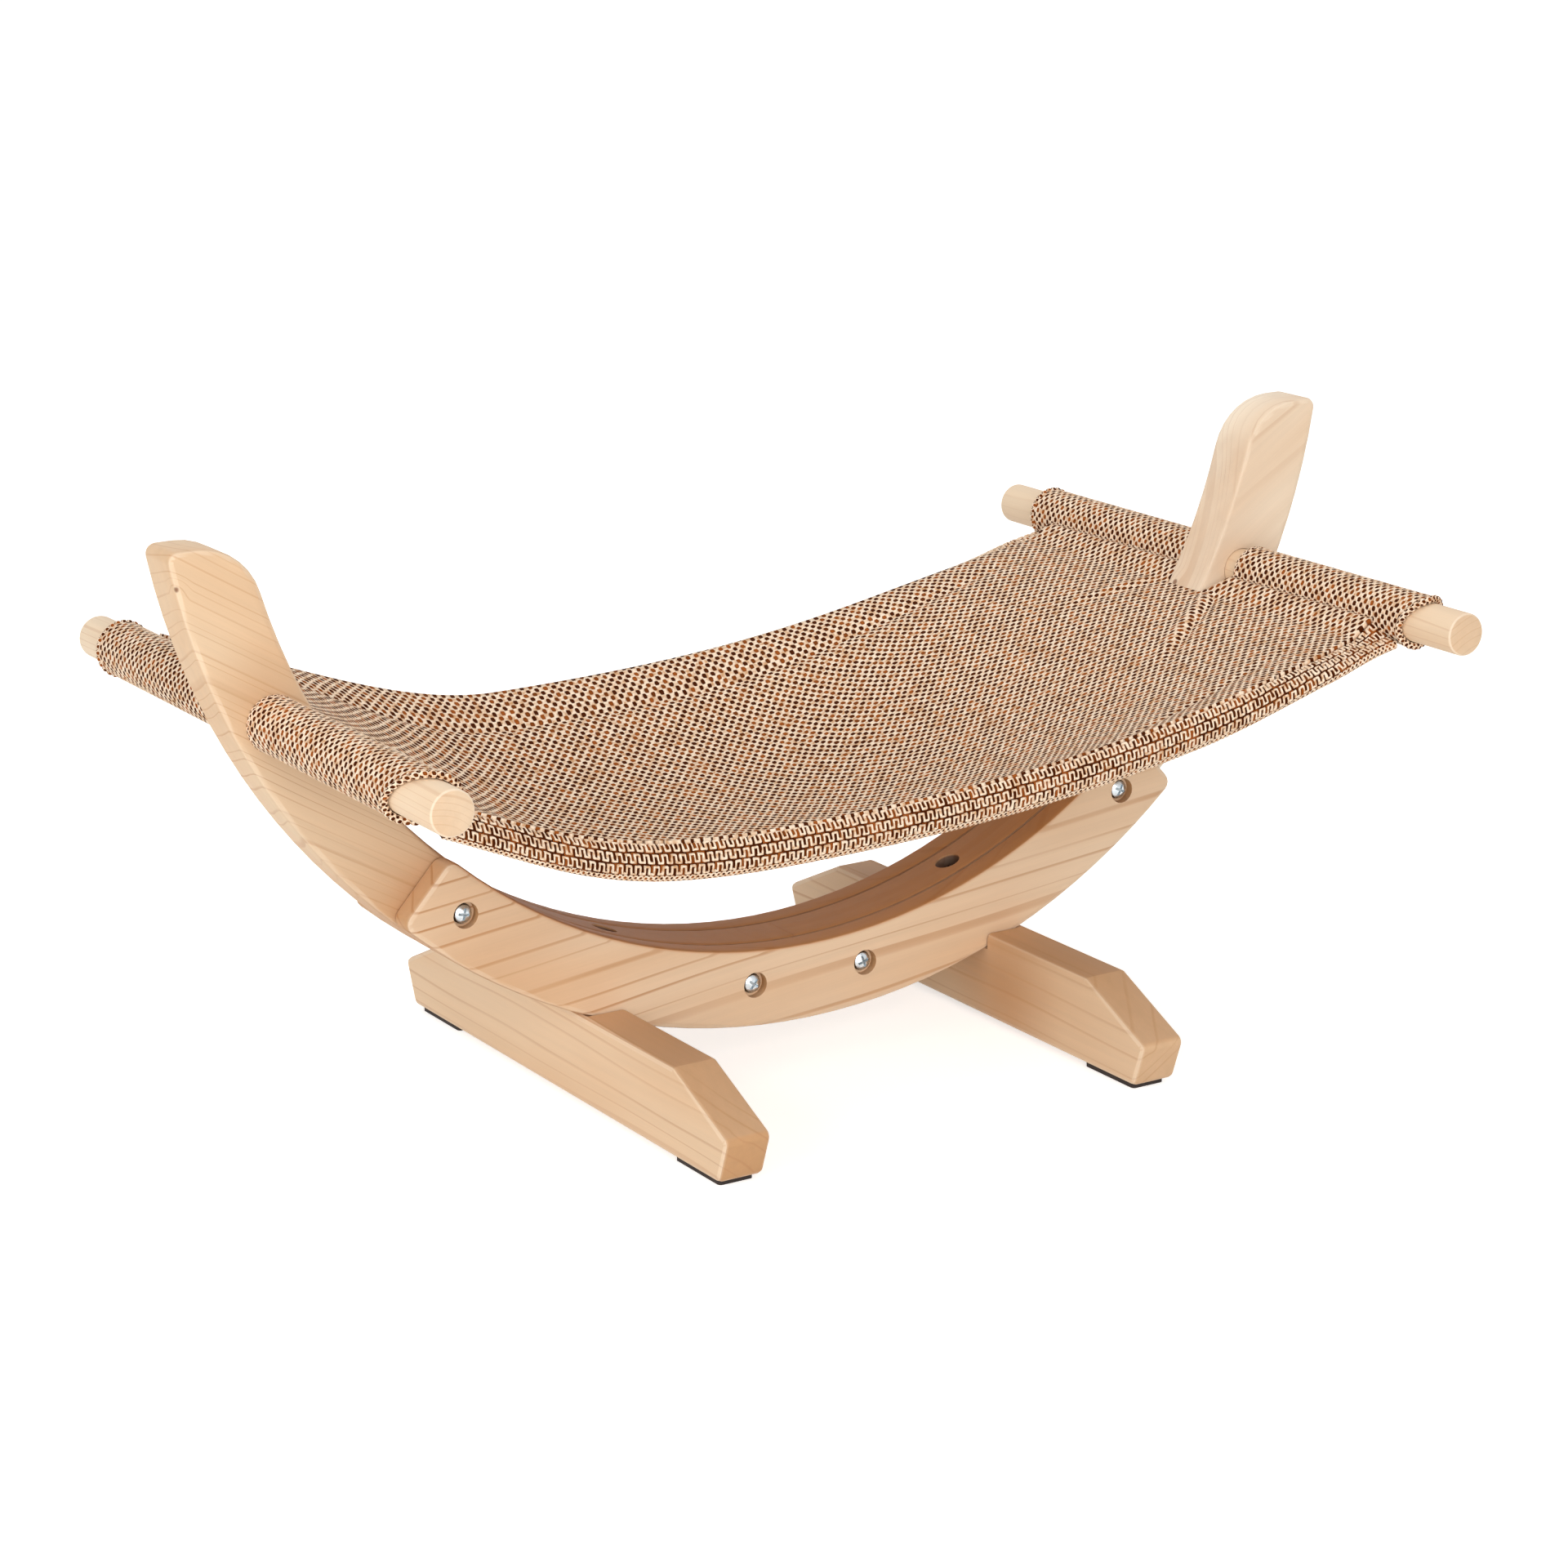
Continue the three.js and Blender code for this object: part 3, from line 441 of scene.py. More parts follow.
def weave_height(a, b):
    """Height of the plain weave, 0 to 1, at places counted in threads.

    Strands have a round section across and part round a hole where the product of two cosines is high.
    """
    parting = np.cos(math.pi * a) * np.cos(math.pi * b)
    aside = np.abs(b - np.round(b)) - 0.12 * parting
    strand = np.sqrt(np.clip(1 - (1 - 2 * aside) ** 2, 0, 1)) * (0.75 - 0.25 * parting)
    return strand * (1 - smooth(parting, HOLE_EDGE - 0.1, HOLE_EDGE + 0.1))


def loop_height(u, v, pitch, row):
    """Height of the hem's winding cord, 0 to 1, at places in millimetres.

    The distance to a square wave, by folding it at its upright bars, and a round section over that distance.
    """
    swing = np.abs(np.mod(u + pitch / 2, pitch) - pitch / 2) - pitch / 4
    up = (v / row - np.floor(v / row) - 0.5) * row
    bar = np.hypot(swing, np.maximum(np.abs(up) - row * LOOP_REACH, 0))
    arch = np.abs(up * np.sign(swing) + row * LOOP_REACH)
    away = np.minimum(bar, arch)
    return np.sqrt(np.clip(1 - (away / (CORD_RADIUS * 1.15)) ** 2, 0, 1))


def smooth(value, low, high):
    """Rises smoothly from 0 at low to 1 at high, by three squares less two cubes."""
    share = np.clip((value - low) / (high - low), 0, 1)
    return share * share * (3 - 2 * share)


def grid_faces(rows, columns):
    """Quads between neighbours on a grid of points."""
    i, j = np.meshgrid(np.arange(rows - 1), np.arange(columns - 1), indexing="ij")
    first = i * columns + j
    return np.stack([first, first + 1, first + columns + 1, first + columns], -1).reshape(-1, 4)


def grid(*parts):
    """A grid of points or of places along the threads, from numbers that spread to one shape."""
    return np.stack(np.broadcast_arrays(*parts), -1)


def patch_mesh(name, patches):
    """One object from grids of points in millimetres, with thread coordinates as UV in metres.

    Each patch is (points, threads) with a shape of rows by columns. Patches are welded where their points meet.
    """
    points, threads, faces, start = [], [], [], 0
    for place, thread in patches:
        rows, columns = place.shape[:2]
        faces.append(grid_faces(rows, columns) + start)
        points.append(place.reshape(-1, 3))
        threads.append(thread.reshape(-1, 2))
        start += rows * columns
    points, threads, faces = np.concatenate(points) * MM, np.concatenate(threads) * MM, np.concatenate(faces)
    mesh = bpy.data.meshes.new(name)
    mesh.from_pydata(points, [], faces, shade_flat=False)
    layer = mesh.uv_layers.new(name=UV_NAME)
    layer.data.foreach_set("uv", threads[faces.ravel()].astype(np.float32).ravel())
    welded = bmesh.new()
    welded.from_mesh(mesh)
    bmesh.ops.remove_doubles(welded, verts=welded.verts, dist=WELD * MM)
    welded.to_mesh(mesh)
    welded.free()
    mesh.validate()
    piece = bpy.data.objects.new(name, mesh)
    bpy.context.scene.collection.objects.link(piece)
    return piece


# A pillow over each doubled hem and a valley along its stitch line: distance in, width and height in millimetres
HEM_FORMS = ((10.0, 7.0, 0.7), (23.0, 3.5, -1.5))
# Folds in the sheet: start, end, depth and width in millimetres
FOLDS = (
    ((260.0, -27.0), (190.0, -72.0), 2.4, 4.5),
    ((-252.0, -18.0), (-205.0, -60.0), 1.0, 5.0),
    ((256.0, 22.0), (205.0, 48.0), 1.2, 4.5),
)


def crest_line():
    """The sheet's front crest along X, as two cubic curves that meet level at the bottom of the trough."""
    t = np.linspace(0, 1, 400)[:, None]
    weights = (1 - t) ** 3, 3 * (1 - t) ** 2 * t, 3 * (1 - t) * t * t, t ** 3
    halves = []
    for side in SIDES:
        span = side * SEAM_X - TROUGH_X
        ahead_z = SEAM_Z - side * END_SLOPES[side] * span / 3
        corners = ((TROUGH_X, TROUGH_Z), (TROUGH_X + FLAT_SHARE * span, TROUGH_Z),
                   (TROUGH_X + span * 2 / 3, ahead_z), (side * SEAM_X, SEAM_Z))
        halves.append(sum(weight * np.array(corner) for weight, corner in zip(weights, corners)))
    return np.vstack([halves[0][::-1], halves[1][1:]])


CREST = crest_line()
CREST_LENGTH = np.concatenate([[0], np.cumsum(np.hypot(*np.diff(CREST, axis=0).T))])


def crest_z(x):
    """Height of the front crest at a place along X."""
    return np.interp(x, CREST[:, 0], CREST[:, 1])


def crest_run(x):
    """Length along the crest from the left seam to a place along X, which runs on straight past the seams."""
    inside = np.interp(x, CREST[:, 0], CREST_LENGTH)
    return inside + np.minimum(x + SEAM_X, 0) + np.maximum(x - SEAM_X, 0)


def turned(x):
    """How far the hems are turned down: partly at the left seam, not at the right one, and wholly between."""
    from_left = LEFT_HEM_TURN + (1 - LEFT_HEM_TURN) * smooth(x + SEAM_X, 0, HEM_TURN)
    return np.minimum(from_left, smooth(SEAM_X - x, 0, HEM_TURN))


def crest_y(x, edge):
    """Place across of the front or back crest, drawn in where the load pulls the cloth."""
    share = smooth(x, -DOWEL_X, DOWEL_X)
    left, right = SLEEVES[-1], SLEEVES[1]
    inset = HEM_FLAT + (PULL_IN[edge] - HEM_FLAT) * turned(x)
    if edge == "front":
        start, end = (ends["front"] + ends["slant"] / 2 for ends in (left, right))
        corner = CORNER_SET_BACK * smooth(x, SEAM_X - CORNER_LENGTH, SEAM_X)
        return start + (end - start) * share + inset + corner
    return left["back"] + (right["back"] - left["back"]) * share - inset


def back_rise(x):
    """How far the back crest is above the front one."""
    share = (x + SEAM_X) / (TROUGH_X + SEAM_X)
    return BACK_LIFT * (1 - smooth(share, BACK_LIFT_START, 1))


def fairing(x):
    """How far the cloth stands up beside a sleeve, because it comes off its dowel a little above the seam."""
    return sum(rise * smooth(side * x, start, end) for side, (start, rise, end) in FAIRING.items())


def sheet_z(x, y):
    """Height of the sheet's top: the crest, a rise to the back, and a bowl that is a parabola across."""
    front, back = crest_y(x, "front"), crest_y(x, "back")
    share = np.clip((y - front) / (back - front), 0, 1)
    bowl = BOWL_DEPTH * smooth(x + SEAM_X, 0, BOWL_TURNS[-1]) * smooth(SEAM_X - x, 0, BOWL_TURNS[1])
    across = np.clip((y - front - RISE_INSET) / (back - front - 2 * RISE_INSET), 0, 1)
    relief = fold_relief(x, y, front, back) + fairing(x)
    return crest_z(x) + back_rise(x) * across - bowl * 4 * share * (1 - share) + relief


def fold_relief(x, y, front, back):
    """Small forms on the sheet: a pillow over each doubled hem, a valley along its stitch line, and folds.

    The folds are narrow bell curves over the distance to a line: two fan out from the right arm's near corner.
    """
    relief = 0
    for inward in (y - front, back - y):
        for middle, width, height in HEM_FORMS:
            relief = relief + turned(x) * height * np.exp(-((inward - middle) / width) ** 2)
    for (start_x, start_y), (end_x, end_y), depth, width in FOLDS:
        ahead = np.array([end_x - start_x, end_y - start_y])
        length = math.hypot(*ahead)
        ahead = ahead / length
        along = ((x - start_x) * ahead[0] + (y - start_y) * ahead[1]) / length
        off = (y - start_y) * ahead[0] - (x - start_x) * ahead[1]
        fade = smooth(along, -0.05, 0.08) * (1 - smooth(along, 0.45, 1.0))
        relief = relief + depth * fade * (np.exp(-((off + width) / width) ** 2) - np.exp(-(off / width) ** 2))
    return relief


def slot_edge(x, side, name):
    """Place across of a slot's edge: beside the arm at the slot's mouth, and at the sleeve's end at the seam."""
    share = np.clip((side * x - MOUTH_X) / (SEAM_X - MOUTH_X), 0, 1)
    start = -SLOT_HALF if name == "slot_front" else SLOT_HALF
    return start + (SLEEVES[side][name] - start) * share


def sheet_patch(x, low, high, count=SHEET_ROWS):
    """A patch of the sheet between two lines across, as points and their places along the threads."""
    along = x[:, None]
    across = low[:, None] + (high - low)[:, None] * np.linspace(0, 1, count)
    return grid(along, across, sheet_z(along, across)), grid(crest_run(along), across)


def sheet_patches():
    """The sheet: a front, middle and back band between the slots' mouths, and four flaps beside the slots."""
    x = np.linspace(-MOUTH_X, MOUTH_X, SHEET_COLUMNS)
    front, back = crest_y(x, "front"), crest_y(x, "back")
    slot = np.full_like(x, SLOT_HALF)
    patches = [sheet_patch(x, front, -slot), sheet_patch(x, -slot, slot, SLOT_ROWS), sheet_patch(x, slot, back)]
    for side in SIDES:
        flap = np.sort(side * np.linspace(MOUTH_X, FAIRING[side][2] - 0.2, FLAP_COLUMNS))
        patches.append(sheet_patch(flap, crest_y(flap, "front"), slot_edge(flap, side, "slot_front")))
        patches.append(sheet_patch(flap, slot_edge(flap, side, "slot_back"), crest_y(flap, "back")))
    return patches


def sleeve_front(side, across_x, across_z):
    """How far a sleeve's front edge is set back at a direction round its dowel, in millimetres.

    It slants back towards its low outer side, and on the right it is drawn back beside the sheet too.
    """
    low_outer = (side * across_x - across_z) / (2 * math.sqrt(0.5))
    inner = np.clip(-side * across_x, 0, 1) ** 1.5
    return SLEEVES[side]["slant"] * (1 + low_outer) / 2 + FRONT_SET_BACK[side] * inner


def sleeve_patch(side, start, end, slanted, sizes):
    """A sleeve as a closed tube wall: out along the woven outer face, round the end, and back along the bore.

    The outer radius is the cloth's, plus the weave's height. An even number of threads fits round it.
    """
    py = sizes.thread_y / MM
    threads = 2 * round(math.pi * SLEEVE_RADIUS / (sizes.thread_x / MM))
    around = threads * THREAD_POINTS[0]
    phi = 2 * np.pi * np.arange(around + 1)[:, None] / around
    steps = int((end - start) / py * THREAD_POINTS[1])
    share = np.concatenate([np.linspace(0, 1, steps), np.linspace(1, 0, 6), [0.0]])
    wall = np.concatenate([np.ones(steps), np.zeros(6), [1.0]])
    # The angle starts at the seam, low on the inner side, and climbs over the top
    across_x, across_z = -side * np.cos(phi - SEAM_ANGLE), np.sin(phi - SEAM_ANGLE)
    first = start + (sleeve_front(side, across_x, across_z) if slanted else 0)
    y = first + (end - first) * share
    thread = phi * threads / (2 * np.pi)
    relief = weave_height(thread, y / py) * sizes.relief / MM
    edge = smooth(share, 0, 0.01) * smooth(1 - share, 0, 0.01)
    radius = np.where(wall > 0.5, SLEEVE_FACE + relief * edge, SLEEVE_BORE + 0.05)
    place = grid(side * DOWEL_X + across_x * radius, y, DOWEL_Z + across_z * radius)
    return place, grid(thread * sizes.thread_x / MM, y)


def facing_out(patch, inside):
    """The patch with its rows turned round if its faces look at the point inside it."""
    place, thread = patch
    a, b, c = place[0, 0], place[0, 1], place[1, 0]
    outward = np.dot(np.cross(b - a, c - a), a - inside)
    return patch if outward > 0 else (place[::-1], thread[::-1])


def tube_mesh(name, patch):
    """One object from a closed tube, with its faces turned out from the middle of its first section."""
    return patch_mesh(name, [facing_out(patch, patch[0][0, :-1].mean(0))])


def closed_curve(corners, t):
    """Points of a smooth closed curve through the corners, at places counted in corners (Catmull-Rom)."""
    corners = np.asarray(corners, float)
    n = len(corners)
    i = np.floor(t).astype(int)
    f = (t - i)[:, None]
    p0, p1, p2, p3 = (corners[(i + k) % n] for k in (-1, 0, 1, 2))
    return 0.5 * (2 * p1 + (p2 - p0) * f + (2 * p0 - 5 * p1 + 4 * p2 - p3) * f ** 2
                  + (3 * p1 - p0 - 3 * p2 + p3) * f ** 3)


# Where the rows of loops start on a hem's section, in millimetres, and how many there are
HEM_ROW_START = 5.6
HEM_ROWS = 3
# The side of the section that shows and the hidden one: first and last place counted in corners, and points
HEM_SPANS = ((0.5, 7.6, 58), (7.6, 11.5, 17))
# A hem's section round the sheet's edge, as distances outwards and up from the crest, in millimetres
HEM_DOWN = [(-7, -2.2), (-3.4, -0.1), (0.4, 0.9), (3.2, -2.0), (4.8, -8.0), (3.9, -13.6), (0.6, -17.4),
            (-2.6, -14.2), (-2.4, -8.5), (-3.6, -4.6), (-6.6, -4.9)]
HEM_LEVEL = [(-7, -1.8), (-3.4, -0.3), (4.0, 0.4), (11.0, 0.2), (17.5, -0.6), (19.4, -3.0), (17.0, -5.6),
             (10.0, -6.0), (3.0, -6.0), (-3.0, -5.4), (-7, -3.0)]


def hem_patch(edge, sizes):
    """A doubled hem carried along one crest, its section passing from level at the right seam to turned down.

    The section is a smooth closed curve, with more points on the side that shows. Rows of loops stand out of it.
    """
    pitch, row = sizes.loop_x / MM, sizes.loop_row / MM
    x = np.linspace(1.0 - SEAM_X, SEAM_X - 1.0, HEM_COLUMNS)[:, None]
    places = np.concatenate([np.linspace(*span, endpoint=False) for span in HEM_SPANS])
    level, down = closed_curve(HEM_LEVEL, places), closed_curve(HEM_DOWN, places)
    amount = turned(x)[..., None]
    section = level * (1 - amount) + down * amount
    section = np.concatenate([section, section[:, :1]], 1)
    step = np.hypot(*np.moveaxis(np.diff(section, axis=1), -1, 0))
    run = np.concatenate([0 * x, np.cumsum(step, 1)], 1) - HEM_ROW_START
    ahead = np.roll(section[:, :-1], -1, 1) - np.roll(section[:, :-1], 1, 1)
    ahead = np.concatenate([ahead, ahead[:, :1]], 1)
    normal = np.stack([-ahead[..., 1], ahead[..., 0]], -1)
    normal /= np.linalg.norm(normal, axis=-1, keepdims=True)
    along = crest_run(x)
    looped = (run > 0) & (run < HEM_ROWS * row)
    plain = weave_height(along / TURNED_PITCH[0], run / TURNED_PITCH[1]) * 0.4
    height = np.where(looped, loop_height(along, run, pitch, row), plain)
    shown = smooth(section[..., 0], -5.5, -3.0) * smooth(np.arange(run.shape[1]), 0, 4)
    section = section + normal * (height * shown * LOOP_RISE - LOOP_SINK * shown)[..., None]
    out, up = section[..., 0], section[..., 1]
    sign, rise = (-1, 0) if edge == "front" else (1, back_rise(x))
    # The side beside the sheet stands up with it, the outer edge stays low
    lift = crest_z(x) + rise + fairing(x) * (1 - smooth(out, -2, 12))
    return grid(x, crest_y(x, edge) + sign * out, lift + up), grid(along, run)


def dress_hem(hem, edging, cloth, rows):
    """Gives a hem's rows of loops the knitted material and everything behind and below them the plain cloth."""
    mesh = hem.data
    mesh.materials.append(edging)
    mesh.materials.append(cloth)
    threads = np.empty(len(mesh.loops) * 2, np.float32)
    firsts = np.empty(len(mesh.polygons), np.int32)
    mesh.uv_layers[UV_NAME].data.foreach_get("uv", threads)
    mesh.polygons.foreach_get("loop_start", firsts)
    run = threads.reshape(-1, 2)[firsts, 1]
    mesh.polygons.foreach_set("material_index", ((run < -0.0002) | (run > rows)).astype(np.int32))


# A sleeve's four rims: whether the end slants, which way is out, the tube's radius in millimetres and its scallops
RIMS = (("front", True, -1, 2.0, 0.45), ("slot_front", False, 1, 1.3, 0.2), ("slot_back", False, -1, 1.3, 0.2),
        ("back", False, 1, 2.0, 0.45))


def rim_patch(side, at, slanted, outward, size, scallops, sizes):
    """A rolled rim at a sleeve's end: a tube bent round the dowel, scalloped into one bulge per loop."""
    loops = round(2 * math.pi * SLEEVE_RADIUS / (sizes.rim_loop / MM))
    turns = np.linspace(0, 2 * np.pi, loops * LOOP_POINTS + 1)[:, None]
    rolls = np.linspace(0, 2 * np.pi, TUBE_POINTS)
    across_x, across_z = np.cos(turns), np.sin(turns)
    scallop = np.abs(np.sin(turns * loops / 2)) ** 0.6
    tube = size * (1 - scallops + scallops * scallop)
    radius = RIM_MIDDLE + tube * np.cos(rolls)
    y = at + (sleeve_front(side, across_x, across_z) if slanted else 0)
    y = y + outward * (tube * np.sin(rolls) + scallops * scallop)
    place = grid(side * DOWEL_X + across_x * radius, y, DOWEL_Z + across_z * radius)
    return place, grid(turns / (2 * np.pi) * loops * sizes.rim_loop / MM, rolls * size)


def lathe_patch(profile, middle, count):
    """A profile of (radius, place along Y) turned once about a middle, so that the faces look outwards."""
    turns = np.linspace(2 * np.pi, 0, count + 1)[:, None]
    radius, y = np.asarray(profile, float).T
    place = grid(radius * np.cos(turns), y, radius * np.sin(turns)) + middle
    return place, grid(turns * DOWEL_RADIUS, y)


def smooth_group():
    """Modifier nodes that merge a carried node's loose triangles and smooth edges of less than 32 degrees."""
    group = bpy.data.node_groups.new("Smooth shading", "GeometryNodeTree")
    for way in ("INPUT", "OUTPUT"):
        group.interface.new_socket("Geometry", in_out=way, socket_type="NodeSocketGeometry")
    add = partial(add_node, group)
    source = add("NodeGroupInput")
    plain = add("GeometryNodeRemoveAttribute", source, Name="custom_normal")
    merged = add("GeometryNodeMergeByDistance", plain, Distance=1e-05)
    soft = add("GeometryNodeSetShadeSmooth", merged, domain="FACE")
    angle = add("GeometryNodeInputMeshEdgeAngle")
    sharp = add("FunctionNodeCompare", angle.outputs["Unsigned Angle"], SMOOTH_ANGLE, data_type="FLOAT",
                operation="GREATER_THAN")
    edged = add("GeometryNodeSetShadeSmooth", soft, sharp, False, domain="EDGE")
    add("NodeGroupOutput", edged)
    return group


def finish_node(name, material):
    """Gives a carried node one material and smooth shading, with flat faces kept flat by their area."""
    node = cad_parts[name]
    node.data.materials.clear()
    node.data.materials.append(material)
    shading = node.modifiers.new("Smooth shading", "NODES")
    shading.node_group = bpy.data.node_groups.get("Smooth shading") or smooth_group()
    weighted = node.modifiers.new("Weighted normals", "WEIGHTED_NORMAL")
    weighted.keep_sharp = True
    weighted.weight = 80


class HAMMOCK_OT_boards(bpy.types.Operator):
    """Finish the arms, cheeks and feet as planed pine boards"""

    bl_idname = "hammock.boards"
    bl_label = "Pine boards"

    def execute(self, context):
        colours, ring = context.scene.hammock_colours, context.scene.hammock_sizes.ring
        slope, tilt = math.radians(33.0), math.radians(-6.0)
        side, top = (0.0, 1.0, 0.0), (1.0, 0.0, 0.0)
        along_y = (0, 0, math.radians(90))
        # Knots and nicks, and patches painted darker and warmer: place and size in metres, and how deep
        left_marks = [((-0.3316, -0.0145, 0.2911), 0.0016, 0.9), ((-0.2215, -0.0145, 0.0905), 0.001, 0.8)]
        right_marks = [((0.2583, 0.008, 0.2124), 0.0018, 0.85)]
        foot_marks = [((0.116, -0.1700, 0.0225), 0.0008, 0.9), ((0.1215, -0.1700, 0.0225), 0.0008, 0.9)]
        nick = [((-0.1260, -0.1660, 0.0235), 0.0014, 0.9)]
        amber = [((-0.205, -0.0145, 0.078), 0.1, 1.0), ((-0.29, -0.0145, 0.235), 0.04, 0.4)]
        left_end = [((-0.19, -0.035, 0.06), 0.09, 0.45)]
        # Painted shadow of the spine on the right foot's side beside it
        inner = [((0.085, -0.045, 0.02), 0.065, 1.0)]
        foot_of_arm = [((0.285, -0.0145, 0.215), 0.05, 0.35)]
        # Early wood, ring spacing, contrast, turn of the grain, pith beside the grain, seed and the face's axis
        boards = [
            ("left_arm", colours.arm, 0.9, 0.42, (0, slope, 0), (0.035, 0.26), 3.1, side, left_marks, amber),
            ("right_arm", colours.pale_arm, 1.1, 0.3, (0, -slope, 0), (0.075, 0.03), 7.7, side, right_marks,
             foot_of_arm),
            ("front_cheek", colours.cheek, 1.9, 0.75, (0, tilt, 0), (0.16, -0.23), 12.4, side, (), left_end),
            ("back_cheek", colours.cheek, 1.5, 0.7, (0, 0, 0), (-0.05, -0.16), 19.2, side, (), ()),
            ("left_foot", colours.foot, 1.7, 0.36, along_y, (0.30, -0.17), 23.9, top, nick, ()),
            ("right_foot", colours.foot, 1.9, 0.42, along_y, (-0.33, -0.19), 31.6, top, foot_marks, inner),
        ]
        for name, early, spacing, contrast, grain, pith, seed, axis, marks, shades in boards:
            # The arms' slanting edges are cut across the grain but stay pale, and the right foot's end grain is paler
            ends = 0.25 if "arm" in name else 0.5 if name == "right_foot" else 0.9
            material = pine("Planed pine, " + name.replace("_", " "), colours, early, ring * spacing, contrast,
                            grain, pith, seed, axis, marks, shades, ends, spine="foot" not in name)
            finish_node(name, material)
        return {"FINISHED"}


class HAMMOCK_OT_dowels(bpy.types.Operator):
    """Turn the two dowels round, with a small chamfer at each end"""

    bl_idname = "hammock.dowels"
    bl_label = "Dowels"

    def execute(self, context):
        colours, sizes = context.scene.hammock_colours, context.scene.hammock_sizes
        end, r = DOWEL_HALF, DOWEL_RADIUS
        half = [(0, end), (r * 0.5, end), (r - 1.0, end), (r - 0.75, end - 0.05), (r - 0.2, end - 0.5),
                (r - 0.05, end - 0.75), (r, end - 1.1)]
        profile = half + [(radius, -y) for radius, y in reversed(half)]
        for side, word in SIDES.items():
            rod = patch_mesh(f"{word}_rod", [lathe_patch(profile, (side * DOWEL_X, 0, DOWEL_Z), 96)])
            pith = (side * DOWEL_X * MM + 0.014 * side, DOWEL_Z * MM - 0.036)
            material = pine(f"Turned pine, {word} dowel", colours, colours.dowel, sizes.ring * 0.8, 0.3,
                            (0, 0, math.radians(90)), (-pith[0], pith[1]), 41.0 + side, (0.0, 1.0, 0.0), ends=0.3)
            rod.data.materials.append(material)
            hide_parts(f"{word}_dowel")
            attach(rod, f"{word}_dowel")
        return {"FINISHED"}


class HAMMOCK_OT_fittings(bpy.types.Operator):
    """Finish the screws, bolts, threaded inserts and rubber pads"""

    bl_idname = "hammock.fittings"
    bl_label = "Screws, inserts and pads"

    def execute(self, context):
        colours = context.scene.hammock_colours
        corners = {name: np.array(node.bound_box) for name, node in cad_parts.items()}
        screw_top = float(corners["cheek_screw_1"][:, 1].min())
        bolt_top = float(corners["right_foot_bolt"][:, 2].max())
        materials = {
            "screw": plated_steel("Zinc-plated screws", colours.zinc, "Y", screw_top, 1),
            # Painted shade covers all but the top rim of the bolts, which sit down in holes in the feet; their base
            # is dark too
            "bolt": plated_steel("Zinc-plated bolts", linear("#6F6860"), "Z", bolt_top + 0.0017, -1),
            "insert": turned_brass("Turned brass", colours.brass),
            "pad": cut_rubber("Die-cut rubber", colours.rubber),
        }
        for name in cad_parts:
            for word, material in materials.items():
                if word in name:
                    finish_node(name, material)
        return {"FINISHED"}


class HAMMOCK_OT_sling(bpy.types.Operator):
    """Weave the sling: the sheet with its sleeves, its doubled hems and the rims of the sleeves"""

    bl_idname = "hammock.sling"
    bl_label = "Sling"

    def execute(self, context):
        colours, sizes = context.scene.hammock_colours, context.scene.hammock_sizes
        cloth = woven_cloth("Plain-woven paper yarn", colours, (sizes.thread_x, sizes.thread_y), 0.42, 0.0007)
        fine = [pitch * MM for pitch in TURNED_PITCH]
        turned_in = woven_cloth("Turned-under paper yarn", colours, fine, 0.3, 0.0004, TURNED_EDGE)
        edging = looped_hem("Knitted hem", colours, sizes.loop_x / MM, sizes.loop_row / MM, 0.0005)
        rolled = woven_cloth("Rolled woven rim", colours, (sizes.rim_loop / 2, sizes.rim_loop / 1.5), 0.1, 0.0005)

        sheet = patch_mesh("sling_sheet", sheet_patches())
        wall = sheet.modifiers.new("Cloth thickness", "SOLIDIFY")
        wall.thickness = sizes.cloth
        wall.offset = -1
        bpy.context.view_layer.objects.active = sheet
        bpy.ops.object.modifier_apply(modifier=wall.name)

        sleeves = []
        for side in SIDES:
            ends = SLEEVES[side]
            for start, end, slanted in ((ends["front"], ends["slot_front"], True),
                                        (ends["slot_back"], ends["back"], False)):
                inside = np.array([side * DOWEL_X, (start + end) / 2, DOWEL_Z])
                sleeves.append(facing_out(sleeve_patch(side, start, end, slanted, sizes), inside))
        tubes = patch_mesh("sling_sleeves", sleeves)
        for piece in (sheet, tubes):
            piece.data.materials.append(cloth)
        with bpy.context.temp_override(active_object=sheet, selected_editable_objects=[sheet, tubes]):
            bpy.ops.object.join()

        hems = []
        for edge in ("front", "back"):
            hem = tube_mesh(f"{edge}_hem", hem_patch(edge, sizes))
            dress_hem(hem, edging, turned_in, HEM_ROWS * sizes.loop_row)
            hems.append(hem)
        rims = []
        for side, word in SIDES.items():
            ends = SLEEVES[side]
            for end, slanted, outward, size, scallops in RIMS:
                patch = rim_patch(side, ends[end], slanted, outward, size, scallops, sizes)
                rim = tube_mesh(f"{word}_{end}_rim", patch)
                rim.data.materials.append(rolled)
                rims.append(rim)
        for piece in [sheet, *hems, *rims]:
            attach(piece, "frame")
        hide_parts("sling")
        return {"FINISHED"}


# The camera fitted to the photograph, in metres and radians, its lens and sensor in millimetres
CAMERA_PLACE = (-1.0642, -1.7671, 0.7198)
CAMERA_YAW, CAMERA_PITCH, CAMERA_ROLL = -0.54357, 0.27322, -0.016898
CAMERA_LENS, CAMERA_SENSOR = 95.64, 36.0

# The square lamps: name, place, height that they look at over the origin and size in metres, and power in watts
LAMPS = (
    ("Key", (-0.7, -2.3, 0.85), 0.12, 1.5, 27),
    ("Left", (-2.3, -0.5, 1.0), 0.12, 1.3, 18),
    ("Top", (0.5, 0.4, 2.4), 0.15, 1.6, 16),
)
FLOOR_HALF = 14.0


